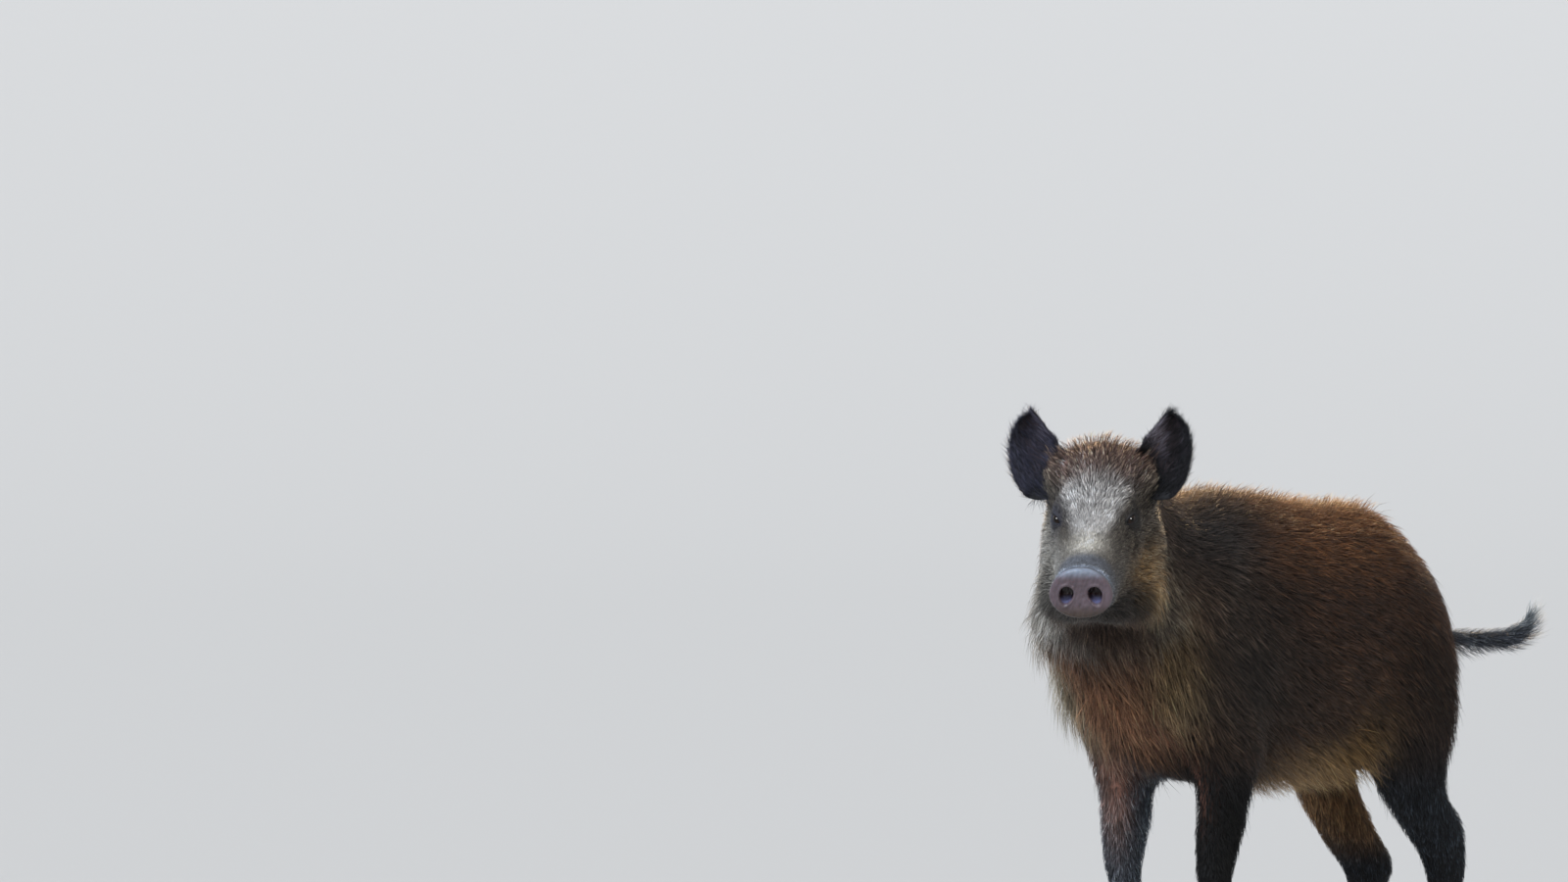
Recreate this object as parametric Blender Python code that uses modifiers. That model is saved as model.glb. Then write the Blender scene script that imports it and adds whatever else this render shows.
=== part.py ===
"""A young wild boar standing on level ground, its head turned to its left. Life size, in metres.

+Z is up, the animal faces -Y and its left is +X. The flesh is modelled whole, from lofts and rounded
muscle shapes that a voxel remesh joins, and is then parted with thin cuts. Every outline is that of
the coat's outer surface.
"""

import math

import bmesh
import bpy
import numpy as np
from mathutils import Matrix, Vector

# Driving sizes.
WITHERS = 0.655  # height of the back over the shoulders
CHEST_WIDTH = 0.25
TRUNK_LENGTH = 0.774  # breast to buttock
TRUNK_FRONT = -0.378
CUT = 0.0004  # width of the thin cuts between pieces
RIDGE = 1.95  # squareness of a section's upper half on the body; 2 is an ellipse
ROUND = 2.3

# The head's own frame: its origin is the middle of the snout disc, +Y runs back along the skull.
SNOUT_AT = Vector((0.178, -0.684, 0.524))
HEAD_TURN = math.radians(28.5)  # to the animal's left
HEAD_DROP = math.radians(16)
HEAD_FRAME = (
    Matrix.Translation(SNOUT_AT) @ Matrix.Rotation(HEAD_TURN, 4, "Z") @ Matrix.Rotation(HEAD_DROP, 4, "X")
)
DISC_DEPTH = 0.018
NOSTRIL_AT = (0.0165, -0.002, -0.003)
NOSTRIL_RADII = (0.0082, 0.012, 0.0112)
EYE_RADIUS = 0.0115
EYE_AT = (0.0540, 0.179, 0.0425)  # where the left eye looks out, in the head's frame
EYE_DEEP = 0.0094  # its middle below the surface of the face

# The left ear in the head's frame: a cupped leaf that stands on a slanting base line.
EAR_BASE = np.array((0.0740, 0.270, 0.0780))
EAR_TIP = np.array((0.0880, 0.300, 0.1500))
EAR_BASE_HALF = np.array((0.0250, -0.010, -0.0350))
EAR_TOP_HALF = np.array((0.0340, 0.000, -0.0050))
EAR_BULGE = np.array((0.0085, 0.000, 0.000))
EAR_CUP = 0.021
EAR_THICKNESS = 0.0045
EAR_ARC = math.radians(78)
EAR_ROOT = -0.25  # how far the leaf runs on below its base line, to be cut by the head
EAR_ROOT_WAY = np.array((-0.110, 0.030, 0.000))  # where the root heads, inside the skull

# Feet.
CORONET = 0.027  # height where horn begins, at the middle of the foot
CORONET_SLOPE = math.radians(20)  # it falls towards the heel
HOOF_LENGTH = 0.050
HOOF_HALF_WIDTH = 0.0118
TOE_SPREAD = 0.0128  # each main hoof's middle, to the side of the leg's middle
TOE_FORWARD = 0.006
DEWCLAW_HEIGHT = 0.050
DEWCLAW_SPREAD = 0.0165

VOXEL = 0.0045
FLESH_TRIANGLES = 4780

# Trunk stations, front to back: (share of the length, top and bottom as shares of the withers' height,
# half-width as a share of half the chest's width).
TRUNK = [
    (0.000, 0.710, 0.590, 0.22),
    (0.020, 0.785, 0.535, 0.46),
    (0.060, 0.865, 0.490, 0.68),
    (0.140, 0.955, 0.430, 0.89),
    (0.260, 0.994, 0.397, 0.98),
    (0.400, 0.992, 0.388, 1.02),
    (0.500, 0.978, 0.388, 1.03),
    (0.620, 0.965, 0.395, 1.01),
    (0.760, 0.956, 0.420, 0.96),
    (0.850, 0.912, 0.448, 0.86),
    (0.925, 0.838, 0.478, 0.70),
    (0.975, 0.765, 0.515, 0.50),
    (1.000, 0.700, 0.560, 0.24),
]
# Head stations in the head's frame: (distance behind the snout disc, above, below, half-width).
HEAD = [
    (0.008, 0.0270, 0.028, 0.0330),
    (0.045, 0.0320, 0.044, 0.0350),
    (0.085, 0.0400, 0.060, 0.0415),
    (0.130, 0.0530, 0.075, 0.0480),
    (0.175, 0.0700, 0.089, 0.0530),
    (0.215, 0.0890, 0.098, 0.0600),
    (0.260, 0.1110, 0.104, 0.0680),
    (0.305, 0.1150, 0.106, 0.0735),
    (0.345, 0.1000, 0.106, 0.0700),
]
# Neck stations: (middle x, y, z, half-width, above, below), each square to the neck's line.
NECK = [
    (0.048, -0.450, 0.606, 0.076, 0.098, 0.104),
    (0.020, -0.408, 0.585, 0.082, 0.114, 0.130),
    (0.004, -0.345, 0.545, 0.103, 0.136, 0.150),
    (0.000, -0.270, 0.497, 0.113, 0.163, 0.158),
    (0.000, -0.180, 0.465, 0.114, 0.172, 0.165),
]
# Leg stations, top to bottom: (height, y, distance from the middle, half-width, half-depth).
FORELEG = [
    (0.510, -0.225, 0.055, 0.0400, 0.0600),
    (0.440, -0.245, 0.070, 0.0500, 0.0850),
    (0.365, -0.232, 0.080, 0.0510, 0.0820),
    (0.300, -0.212, 0.082, 0.0420, 0.0660),
    (0.240, -0.213, 0.080, 0.0320, 0.0500),
    (0.189, -0.222, 0.079, 0.0280, 0.0365),
    (0.150, -0.229, 0.078, 0.0250, 0.0270),
    (0.110, -0.227, 0.076, 0.0205, 0.0215),
    (0.070, -0.230, 0.075, 0.0235, 0.0240),
    (0.046, -0.240, 0.075, 0.0240, 0.0230),
    (0.016, -0.250, 0.075, 0.0225, 0.0205),
]
# The left hind leg is set with an open hock, the right one bends lower and stands further back.
HINDLEG_LEFT = [
    (0.500, 0.200, 0.050, 0.0450, 0.0850),
    (0.430, 0.225, 0.068, 0.0530, 0.1120),
    (0.360, 0.230, 0.078, 0.0520, 0.1150),
    (0.305, 0.234, 0.080, 0.0440, 0.1040),
    (0.265, 0.238, 0.078, 0.0380, 0.0860),
    (0.235, 0.252, 0.075, 0.0330, 0.0740),
    (0.205, 0.286, 0.073, 0.0280, 0.0690),
    (0.180, 0.312, 0.071, 0.0265, 0.0620),
    (0.155, 0.330, 0.070, 0.0245, 0.0500),
    (0.125, 0.342, 0.069, 0.0230, 0.0365),
    (0.095, 0.345, 0.068, 0.0210, 0.0260),
    (0.070, 0.341, 0.068, 0.0235, 0.0250),
    (0.046, 0.331, 0.068, 0.0235, 0.0230),
    (0.016, 0.321, 0.068, 0.0220, 0.0205),
]
HINDLEG_RIGHT = [
    (0.500, 0.200, 0.050, 0.0450, 0.0850),
    (0.430, 0.225, 0.066, 0.0520, 0.1120),
    (0.360, 0.232, 0.073, 0.0510, 0.1120),
    (0.300, 0.240, 0.074, 0.0440, 0.0980),
    (0.250, 0.256, 0.072, 0.0360, 0.0720),
    (0.205, 0.288, 0.070, 0.0290, 0.0640),
    (0.175, 0.313, 0.069, 0.0270, 0.0600),
    (0.150, 0.340, 0.069, 0.0260, 0.0600),
    (0.125, 0.362, 0.068, 0.0240, 0.0520),
    (0.100, 0.364, 0.068, 0.0220, 0.0380),
    (0.080, 0.356, 0.068, 0.0225, 0.0300),
    (0.060, 0.345, 0.068, 0.0240, 0.0260),
    (0.040, 0.335, 0.068, 0.0235, 0.0230),
    (0.016, 0.326, 0.068, 0.0220, 0.0205),
]
# How each leg stands: (outline, side, how far its foot is set back).
LEGS = {
    "foreleg_left": (FORELEG, 1, 0.0),
    "foreleg_right": (FORELEG, -1, 0.028),
    "hindleg_left": (HINDLEG_LEFT, 1, 0.0),
    "hindleg_right": (HINDLEG_RIGHT, -1, 0.0),
}
LEG_TOP = 0.42  # a foot's offset fades out up to this height
# Tail stations: (x, y, z, half-width); it swings to the left and curls up at the tuft.
TAIL = [
    (0.000, 0.320, 0.480, 0.0240),
    (0.006, 0.372, 0.448, 0.0185),
    (0.020, 0.412, 0.435, 0.0135),
    (0.035, 0.443, 0.433, 0.0120),
    (0.051, 0.476, 0.431, 0.0130),
    (0.068, 0.506, 0.433, 0.0140),
    (0.080, 0.524, 0.444, 0.0120),
    (0.085, 0.533, 0.466, 0.0060),
]
# Rounded masses on the left side, mirrored on the right: (frame, middle, radii, turn about X in degrees).
MASSES = [
    ("body", (0.066, -0.235, 0.480), (0.054, 0.092, 0.125), -14),  # shoulder blade
    ("body", (0.064, -0.300, 0.405), (0.052, 0.064, 0.080), 20),  # point of the shoulder
    ("body", (0.074, 0.208, 0.420), (0.054, 0.122, 0.125), 8),  # ham
    ("body", (0.082, 0.138, 0.335), (0.038, 0.058, 0.070), -20),  # stifle
    ("body", (0.034, 0.090, 0.310), (0.060, 0.130, 0.052), 6),  # flank fold
    ("body", (0.042, -0.400, 0.478), (0.050, 0.055, 0.060), 0),  # throat
    ("head", (0.046, 0.226, -0.064), (0.041, 0.092, 0.042), 7),  # cheek and its whiskers
    ("head", (0.034, 0.160, -0.056), (0.029, 0.075, 0.029), 12),  # lower jaw
    ("head", (0.040, 0.295, -0.035), (0.044, 0.064, 0.076), 0),  # jaw angle
    ("head", (0.033, 0.195, 0.060), (0.021, 0.034, 0.017), 24),  # brow
    ("head", (0.039, 0.203, 0.040), (0.026, 0.027, 0.024), 0),  # orbit
    ("head", (0.036, 0.196, 0.002), (0.029, 0.058, 0.024), 6),  # cheek bone
    ("head", (0.046, 0.285, 0.066), (0.037, 0.040, 0.044), 0),  # root of the ear
    ("head", (0.018, 0.084, -0.018), (0.025, 0.045, 0.026), 8),  # upper lip over the tusk
]

FLESH_COLOUR = (0.090, 0.055, 0.032, 1.0)
LEG_COLOUR = (0.022, 0.021, 0.024, 1.0)
EAR_COLOUR = (0.020, 0.020, 0.026, 1.0)
BARE_COLOUR = (0.230, 0.150, 0.145, 1.0)
HORN_COLOUR = (0.030, 0.026, 0.024, 1.0)
EYE_COLOUR = (0.012, 0.008, 0.006, 1.0)


def clear_scene():
    for old in list(bpy.data.objects):
        bpy.data.objects.remove(old)


def new_collection(name, in_render=True):
    made = bpy.data.collections.new(name)
    bpy.context.scene.collection.children.link(made)
    made.hide_render = not in_render
    return made


def new_material(name, colour, roughness):
    made = bpy.data.materials.new(name)
    made.use_nodes = True
    shader = made.node_tree.nodes["Principled BSDF"]
    shader.inputs["Base Color"].default_value = colour
    shader.inputs["Roughness"].default_value = roughness
    shader.inputs["Metallic"].default_value = 0.0
    return made


def object_from(bm, name, collection):
    mesh = bpy.data.meshes.new(name)
    bm.to_mesh(mesh)
    bm.free()
    made = bpy.data.objects.new(name, mesh)
    collection.objects.link(made)
    if collection.hide_render:
        made.hide_render = True
        made.display_type = "WIRE"
    return made


def frozen(obj):
    """The object's mesh becomes what its modifiers make of it."""
    bpy.context.view_layer.update()
    graph = bpy.context.evaluated_depsgraph_get()
    mesh = bpy.data.meshes.new_from_object(obj.evaluated_get(graph))
    obj.modifiers.clear()
    obj.data = mesh
    return obj


def curve_through(rows, per_gap):
    """A smooth Catmull-Rom curve through the rows of a table, with per_gap steps in each gap."""
    rows = np.asarray(rows, float)
    padded = np.vstack([2 * rows[0] - rows[1], rows, 2 * rows[-1] - rows[-2]])
    t = np.arange(per_gap)[:, None] / per_gap
    gaps = []
    for a, b, c, d in zip(padded, padded[1:], padded[2:], padded[3:]):
        bend = (2 * a - 5 * b + 4 * c - d) * t**2 + (3 * b - a - 3 * c + d) * t**3
        gaps.append(b + 0.5 * ((c - a) * t + bend))
    return np.vstack(gaps + [rows[-1:]])


def oval(widths, above, below, points, upper):
    """Points round each section, as sideways and upward distances: a superellipse with unlike halves."""
    angle = np.linspace(0, 2 * math.pi, points, endpoint=False)
    power = 2 / np.where(np.sin(angle) > 0, upper, ROUND)
    across = np.sign(np.cos(angle)) * np.abs(np.cos(angle)) ** power
    rise = np.sign(np.sin(angle)) * np.abs(np.sin(angle)) ** power
    height = np.where(rise > 0, above[:, None], below[:, None])
    return widths[:, None] * across, height * rise


def tube(name, rings, collection):
    """A closed solid from rings of points: quads between neighbours and one face at each end."""
    count = len(rings[0])
    bm = bmesh.new()
    made = [[bm.verts.new(point) for point in ring] for ring in rings]
    for near_ring, far_ring in zip(made, made[1:]):
        for i in range(count):
            j = (i + 1) % count
            bm.faces.new((near_ring[i], near_ring[j], far_ring[j], far_ring[i]))
    bm.faces.new(made[0])
    bm.faces.new(made[-1])
    bmesh.ops.recalc_face_normals(bm, faces=bm.faces)
    return object_from(bm, name, collection)


def loft(name, middles, axes, sizes, collection, points=28, upper=ROUND):
    """A tube of oval sections: axes are the sideways and upward ways; sizes the half-width, above, below."""
    across, rise = oval(*sizes, points, upper)
    sideways, upward = [np.broadcast_to(axis, middles.shape)[:, None, :] for axis in axes]
    rings = middles[:, None, :] + across[:, :, None] * sideways + rise[:, :, None] * upward
    return tube(name, rings, collection)


def rounded(name, middle, radii, tilt, frame, collection, segments=24):
    """An ellipsoid, turned about X by tilt degrees and placed in a frame."""
    bm = bmesh.new()
    bmesh.ops.create_uvsphere(bm, u_segments=segments, v_segments=segments // 2, radius=1)
    turn = Matrix.Rotation(math.radians(tilt), 4, "X")
    bm.transform(frame @ Matrix.Translation(middle) @ turn @ Matrix.Diagonal((*radii, 1)))
    return object_from(bm, name, collection)


def box(name, low, high, frame, collection):
    """A box from its two corners, placed in a frame."""
    low, high = Vector(low), Vector(high)
    bm = bmesh.new()
    size = Matrix.Diagonal((*(high - low), 1))
    bmesh.ops.create_cube(bm, size=1, matrix=frame @ Matrix.Translation((low + high) / 2) @ size)
    return object_from(bm, name, collection)


def upward_of(path, side):
    """Unit vectors square to a path and to its sideways vectors."""
    way = np.gradient(path, axis=0)
    up = np.cross(way, np.broadcast_to(side, path.shape))
    up *= np.sign(up[:, 2:3])
    return up / np.linalg.norm(up, axis=1, keepdims=True)


def trunk_form(work):
    share, top, bottom, width = curve_through(TRUNK, 5).T
    top, bottom = WITHERS * top, WITHERS * bottom
    widest = bottom + 0.45 * (top - bottom)
    middles = np.column_stack([0 * top, TRUNK_FRONT + TRUNK_LENGTH * share, widest])
    sizes = (0.5 * CHEST_WIDTH * width, top - widest, widest - bottom)
    return loft("trunk_form", middles, ((1, 0, 0), (0, 0, 1)), sizes, work, upper=RIDGE)


def neck_form(work):
    """The neck's sections turn from the head's sideways axis to the body's."""
    rows = curve_through(NECK, 5)
    head_side = np.array(HEAD_FRAME.to_3x3() @ Vector((1, 0, 0)))
    turned = np.linspace(1, 0, len(rows))[:, None]
    side = turned * head_side + (1 - turned) * np.array((1.0, 0.0, 0.0))
    side /= np.linalg.norm(side, axis=1, keepdims=True)
    path = rows[:, :3]
    return loft("neck_form", path, (side, upward_of(path, side)), rows[:, 3:].T, work, upper=RIDGE)


def head_form(work):
    back, above, below, width = curve_through(HEAD, 5).T
    middles = np.column_stack([0 * back, back, 0 * back])
    axes = ((1, 0, 0), (0, 0, 1))
    made = loft("head_form", middles, axes, (width, above, below), work, points=36, upper=2.3)
    made.data.transform(HEAD_FRAME)
    return made


def leg_path(name):
    """A leg's stations as columns x, y, z, half-width, half-depth, with its foot set back."""
    outline, side, set_back = LEGS[name]
    height, y, off, width, depth = curve_through(outline, 4).T
    return side * off, y + set_back * np.clip(1 - height / LEG_TOP, 0, 1), height, width, depth


def leg_form(name, work):
    x, y, z, width, depth = leg_path(name)
    axes = ((1, 0, 0), (0, 1, 0))
    return loft(name + "_form", np.column_stack([x, y, z]), axes, (width, depth, depth), work)


def tail_form(work):
    rows = curve_through(TAIL, 5)
    side = np.array((0.85, -0.53, 0.0))
    axes = (side, upward_of(rows[:, :3], side))
    return loft("tail_form", rows[:, :3], axes, (rows[:, 3],) * 3, work, points=16)


def mass_forms(work):
    made = []
    for number, (frame_name, middle, radii, tilt) in enumerate(MASSES):
        frame = HEAD_FRAME if frame_name == "head" else Matrix()
        for side in (1, -1):
            at = (side * middle[0], middle[1], middle[2])
            made.append(rounded(f"mass_{number}_{side}", at, radii, tilt, frame, work))
    return made


def foot_at(name):
    """Where a leg's foot stands: x and y of the middle between its toes."""
    x, y = leg_path(name)[:2]
    return x[-1], y[-1] - TOE_FORWARD


def toe_forms(name, work):
    """The soft toes above the hooves, with the cleft between them, and the mounds under the dewclaws."""
    x, y = foot_at(name)
    made = []
    for way in (-1, 1):
        toe = (x + way * TOE_SPREAD * 0.95, y + 0.004, CORONET + 0.002)
        heel = (x + way * DEWCLAW_SPREAD * 0.8, y + 0.030, DEWCLAW_HEIGHT + 0.004)
        made.append(rounded(f"{name}_toe_{way}", toe, (0.0112, 0.0185, 0.020), -20, Matrix(), work))
        made.append(rounded(f"{name}_heel_{way}", heel, (0.0085, 0.010, 0.012), 0, Matrix(), work))
    return made


def joined(objects, name, collection):
    """One object that holds all the given meshes."""
    bm = bmesh.new()
    for obj in objects:
        bm.from_mesh(obj.data)
        bpy.data.objects.remove(obj)
    return object_from(bm, name, collection)


def mesh_points(mesh):
    points = np.empty(3 * len(mesh.vertices))
    mesh.vertices.foreach_get("co", points)
    return points.reshape(-1, 3)


def nearness(points, spots):
    """How near each point is to any of the spots: 1 inside a third of a spot's reach, 0 beyond the reach."""
    weight = np.zeros(len(points))
    for middle, reach in spots:
        away = np.linalg.norm(points - np.array(middle), axis=1) / reach
        weight = np.maximum(weight, np.clip(1.5 * (1 - away), 0, 1))
    return weight


def add_group(obj, name, weights):
    group = obj.vertex_groups.new(name=name)
    for index, weight in enumerate(weights):
        group.add([index], float(weight), "REPLACE")


def add_smooth(obj, name, rounds, group):
    smooth = obj.modifiers.new(name, "SMOOTH")
    smooth.factor = 0.5
    smooth.iterations = rounds
    smooth.vertex_group = group


def fused_flesh(forms, work):
    """The forms as one skin: remeshed, smoothed where they meet, and thinned to few triangles."""
    flesh = joined(forms, "flesh", work)
    remesh = flesh.modifiers.new("Fuse", "REMESH")
    remesh.mode = "VOXEL"
    remesh.voxel_size = VOXEL
    frozen(flesh)
    points = mesh_points(flesh.data)
    face = HEAD_FRAME @ Vector((0, 0.06, 0))
    skull = HEAD_FRAME @ Vector((0, 0.20, 0))
    tail_middle = Vector(TAIL[4][:3])
    body = 1 - nearness(points, [(face, 0.13), (skull, 0.145)])
    fixed = np.maximum(nearness(points, [(tail_middle, 0.16)]), np.clip((0.25 - points[:, 2]) / 0.04, 0, 1))
    add_group(flesh, "body", body * (1 - fixed))
    add_group(flesh, "head", 1 - body)
    add_smooth(flesh, "Blend the body", 60, "body")
    add_smooth(flesh, "Blend the head", 24, "head")
    frozen(flesh)
    flesh.vertex_groups.clear()
    points = mesh_points(flesh.data)
    detail = nearness(points, [(face, 0.15), (skull, 0.20), (tail_middle, 0.14)])
    detail = np.maximum(detail, np.clip((0.26 - points[:, 2]) / 0.10, 0, 0.8))
    add_group(flesh, "plain", 1.0 - 0.55 * detail)
    triangles = sum(len(polygon.vertices) - 2 for polygon in flesh.data.polygons)
    thin = flesh.modifiers.new("Thin", "DECIMATE")
    thin.ratio = FLESH_TRIANGLES / triangles
    thin.vertex_group = "plain"
    thin.vertex_group_factor = 0.35
    frozen(flesh)
    flesh.vertex_groups.clear()
    return flesh


def ear_form(side, work):
    """A cupped leaf. u runs from the inner edge to the outer one, v from the root to the tip.

    The middle line is base + v (tip - base) + bulge 4v(1 - v); the half-width shrinks as sqrt(1 - v^2)
    and turns from the base line's way to the level; the cup's depth is greatest in the middle.
    """
    v = np.concatenate([np.linspace(EAR_ROOT, 0.7, 8), (0.82, 0.91, 0.965, 0.99)])[:, None, None]
    u = np.linspace(-1, 1, 9)[None, :, None]
    grown = np.clip(v, 0, 1)
    rooted = np.clip(-v, 0, 1)
    middle = EAR_BASE + v * (EAR_TIP - EAR_BASE) + 4 * grown * (1 - grown) * EAR_BULGE
    middle = middle + rooted * EAR_ROOT_WAY
    narrowing = np.sqrt(1 - grown**2.4) * (1 - 1.6 * rooted)
    half = (EAR_BASE_HALF + grown * (EAR_TOP_HALF - EAR_BASE_HALF)) * narrowing
    arc = (np.cos(u * EAR_ARC) - math.cos(EAR_ARC)) / (1 - math.cos(EAR_ARC))
    away = np.array((-0.25, 0.95, 0.15))
    leaf = middle + half * np.sin(u * EAR_ARC) / math.sin(EAR_ARC) + away * EAR_CUP * narrowing**0.7 * arc
    along, across = np.gradient(leaf, axis=0), np.gradient(leaf, axis=1)
    normal = np.cross(along, across)
    normal /= np.linalg.norm(normal, axis=2, keepdims=True)
    thin = EAR_THICKNESS * (1 - 0.45 * np.abs(u) ** 3) * (1 - 0.35 * grown)
    front, back = leaf + 0.5 * thin * normal, leaf - 0.5 * thin * normal
    rings = np.concatenate([front, back[:, ::-1]], axis=1)
    rings[:, :, 0] *= side
    made = tube("ear_form", rings, work)
    made.data.transform(HEAD_FRAME)
    return made


def snout_form(work):
    """The gristle disc: a rim that swells over the muzzle and a face dished in the middle."""
    rows = np.array(
        [
            (DISC_DEPTH, 0.0295, 0.0300, 0.0350),
            (0.0130, 0.0320, 0.0318, 0.0385),
            (0.0070, 0.0338, 0.0328, 0.0412),
            (0.0025, 0.0335, 0.0322, 0.0412),
            (0.0000, 0.0310, 0.0298, 0.0385),
            (-0.0004, 0.0265, 0.0255, 0.0330),
            (0.0014, 0.0150, 0.0140, 0.0200),
        ]
    )
    middles = np.column_stack([0 * rows[:, 0], rows[:, 0], 0 * rows[:, 0]])
    sizes = (rows[:, 3], rows[:, 1], rows[:, 2])
    made = loft("snout_form", middles, ((1, 0, 0), (0, 0, 1)), sizes, work, points=22)
    made.data.transform(HEAD_FRAME)
    return made


def hoof_form(name, x, y, work):
    """A main hoof: a sloping wall with a narrowed toe, flat where it stands."""
    angle = np.linspace(0, 2 * math.pi, 14, endpoint=False)
    levels = ((0.0, 1.04, 0.0), (0.004, 1.07, 0.0005), (0.022, 1.0, 0.0045), (0.044, 0.9, 0.0100))
    rings = []
    for z, swell, back in levels:
        across = 0.98 * HOOF_HALF_WIDTH * swell * np.cos(angle)
        along = 0.5 * HOOF_LENGTH * swell * np.sin(angle)
        taper = 1 - 0.28 * np.clip(-np.sin(angle), 0, 1) ** 2
        ring = np.column_stack([x + across * taper, y + along * 0.92 + back, 0 * angle + z])
        rings.append(ring)
    return tube(name, np.array(rings), work)


def dewclaw_form(name, x, y, way, work):
    """A small side hoof that hangs behind the pastern."""
    frame = Matrix.Translation((x + way * DEWCLAW_SPREAD, y + 0.037, DEWCLAW_HEIGHT - 0.004))
    return rounded(name, (0, 0, 0), (0.0062, 0.0075, 0.0125), 28, frame, work, segments=10)


def copy_of(obj, name, collection):
    made = bpy.data.objects.new(name, obj.data.copy())
    collection.objects.link(made)
    return made


def cut(obj, other, operation):
    boolean = obj.modifiers.new(operation.title(), "BOOLEAN")
    boolean.operation = operation
    boolean.object = other
    boolean.solver = "EXACT"


def taken(rest, name, region, wider, collection):
    """Parts one piece from the rest. The piece fills the region and the rest keeps out of the wider one."""
    piece = copy_of(rest, name, collection)
    cut(piece, region, "INTERSECT")
    frozen(piece)
    cut(rest, wider, "DIFFERENCE")
    frozen(rest)
    return piece


def region_pair(name, low, high, frame, work):
    """A region's box and the same box grown by the width of a cut."""
    gap = Vector((CUT, CUT, CUT))
    region = box(name + "_region", low, high, frame, work)
    wider = box(name + "_wider", Vector(low) - gap, Vector(high) + gap, frame, work)
    return region, wider


def leaning(origin, way):
    """A frame at origin whose +Y points the given way."""
    turn = Vector((0, 1, 0)).rotation_difference(Vector(way)).to_matrix().to_4x4()
    return Matrix.Translation(origin) @ turn


def wedge(name, inner, rise, low_y, high_y, side, work):
    """Space outside x = inner and below a plane that slants up and out, on one side of the body."""
    top, far = inner[1], 0.4
    section = [(inner[0], -0.1), (inner[0], top), (far, top + rise * (far - inner[0])), (far, -0.1)]
    rings = [[(side * x, y, z) for x, z in section] for y in (low_y, high_y)]
    return tube(name, np.array(rings), work)


def leg_region(name, work):
    """A leg's own space: outward from the armpit or the groin."""
    outline, side, _ = LEGS[name]
    fore = outline is FORELEG
    inner = (0.035, 0.262) if fore else (0.030, 0.284)
    middle, reach = (-0.222, 0.112) if fore else (0.250, 0.180)
    made = []
    for word, gap in (("region", 0.0), ("wider", CUT)):
        corner = (inner[0] - gap, inner[1] + gap)
        ends = (middle - reach - gap, middle + reach + gap)
        made.append(wedge(f"{name}_{word}", corner, 1.28, *ends, side, work))
    return made


def foot_region(name, work):
    """The space of a foot's hooves: everything under its sloping coronet."""
    x, y = foot_at(name)
    frame = Matrix.Translation((x, y, CORONET)) @ Matrix.Rotation(-CORONET_SLOPE, 4, "X")
    return region_pair(name + "_sole", (-0.05, -0.07, -0.08), (0.05, 0.07, 0.0), frame, work)


def grown_copy(flesh, work):
    """The flesh swollen by the width of a cut, to trim the pieces that sit on it."""
    made = copy_of(flesh, "flesh_grown", work)
    made.hide_render = True
    swell = made.modifiers.new("Swell", "DISPLACE")
    swell.strength = CUT
    swell.mid_level = 0
    return frozen(made)


def eye_middle(flesh, side):
    """The eye's middle: straight in from the point of the face where it looks out."""
    looks_out = HEAD_FRAME @ Vector((side * EYE_AT[0], EYE_AT[1], EYE_AT[2]))
    _, on_face, normal, _ = flesh.closest_point_on_mesh(looks_out)
    return on_face - normal * EYE_DEEP


def stand_on_origin(pieces):
    """Moves everything so that the whole box is centred on the origin and stands on z = 0."""
    points = np.vstack([mesh_points(piece.data) for piece in pieces])
    low, high = points.min(axis=0), points.max(axis=0)
    shift = Vector((-(low[0] + high[0]) / 2, -(low[1] + high[1]) / 2, -low[2]))
    for piece in pieces:
        piece.data.transform(Matrix.Translation(shift))
    print("shift", tuple(round(value, 6) for value in shift))
    print("size", tuple(np.round(high - low, 4)))


def feet(boar, work, grown, horn):
    made = []
    for name in LEGS:
        x, y = foot_at(name)
        region, wider = foot_region(name, work)
        for way in (-1, 1):
            place = "outer" if way == LEGS[name][1] else "inner"
            hoof = hoof_form(f"hoof_{name}_{place}", x + way * TOE_SPREAD, y, boar)
            cut(hoof, region, "INTERSECT")
            claw = dewclaw_form(f"dewclaw_{name}_{place}", x, y, way, boar)
            cut(claw, grown, "DIFFERENCE")
            made += [frozen(hoof), frozen(claw)]
    for piece in made:
        piece.data.materials.append(horn)
    return made


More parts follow.
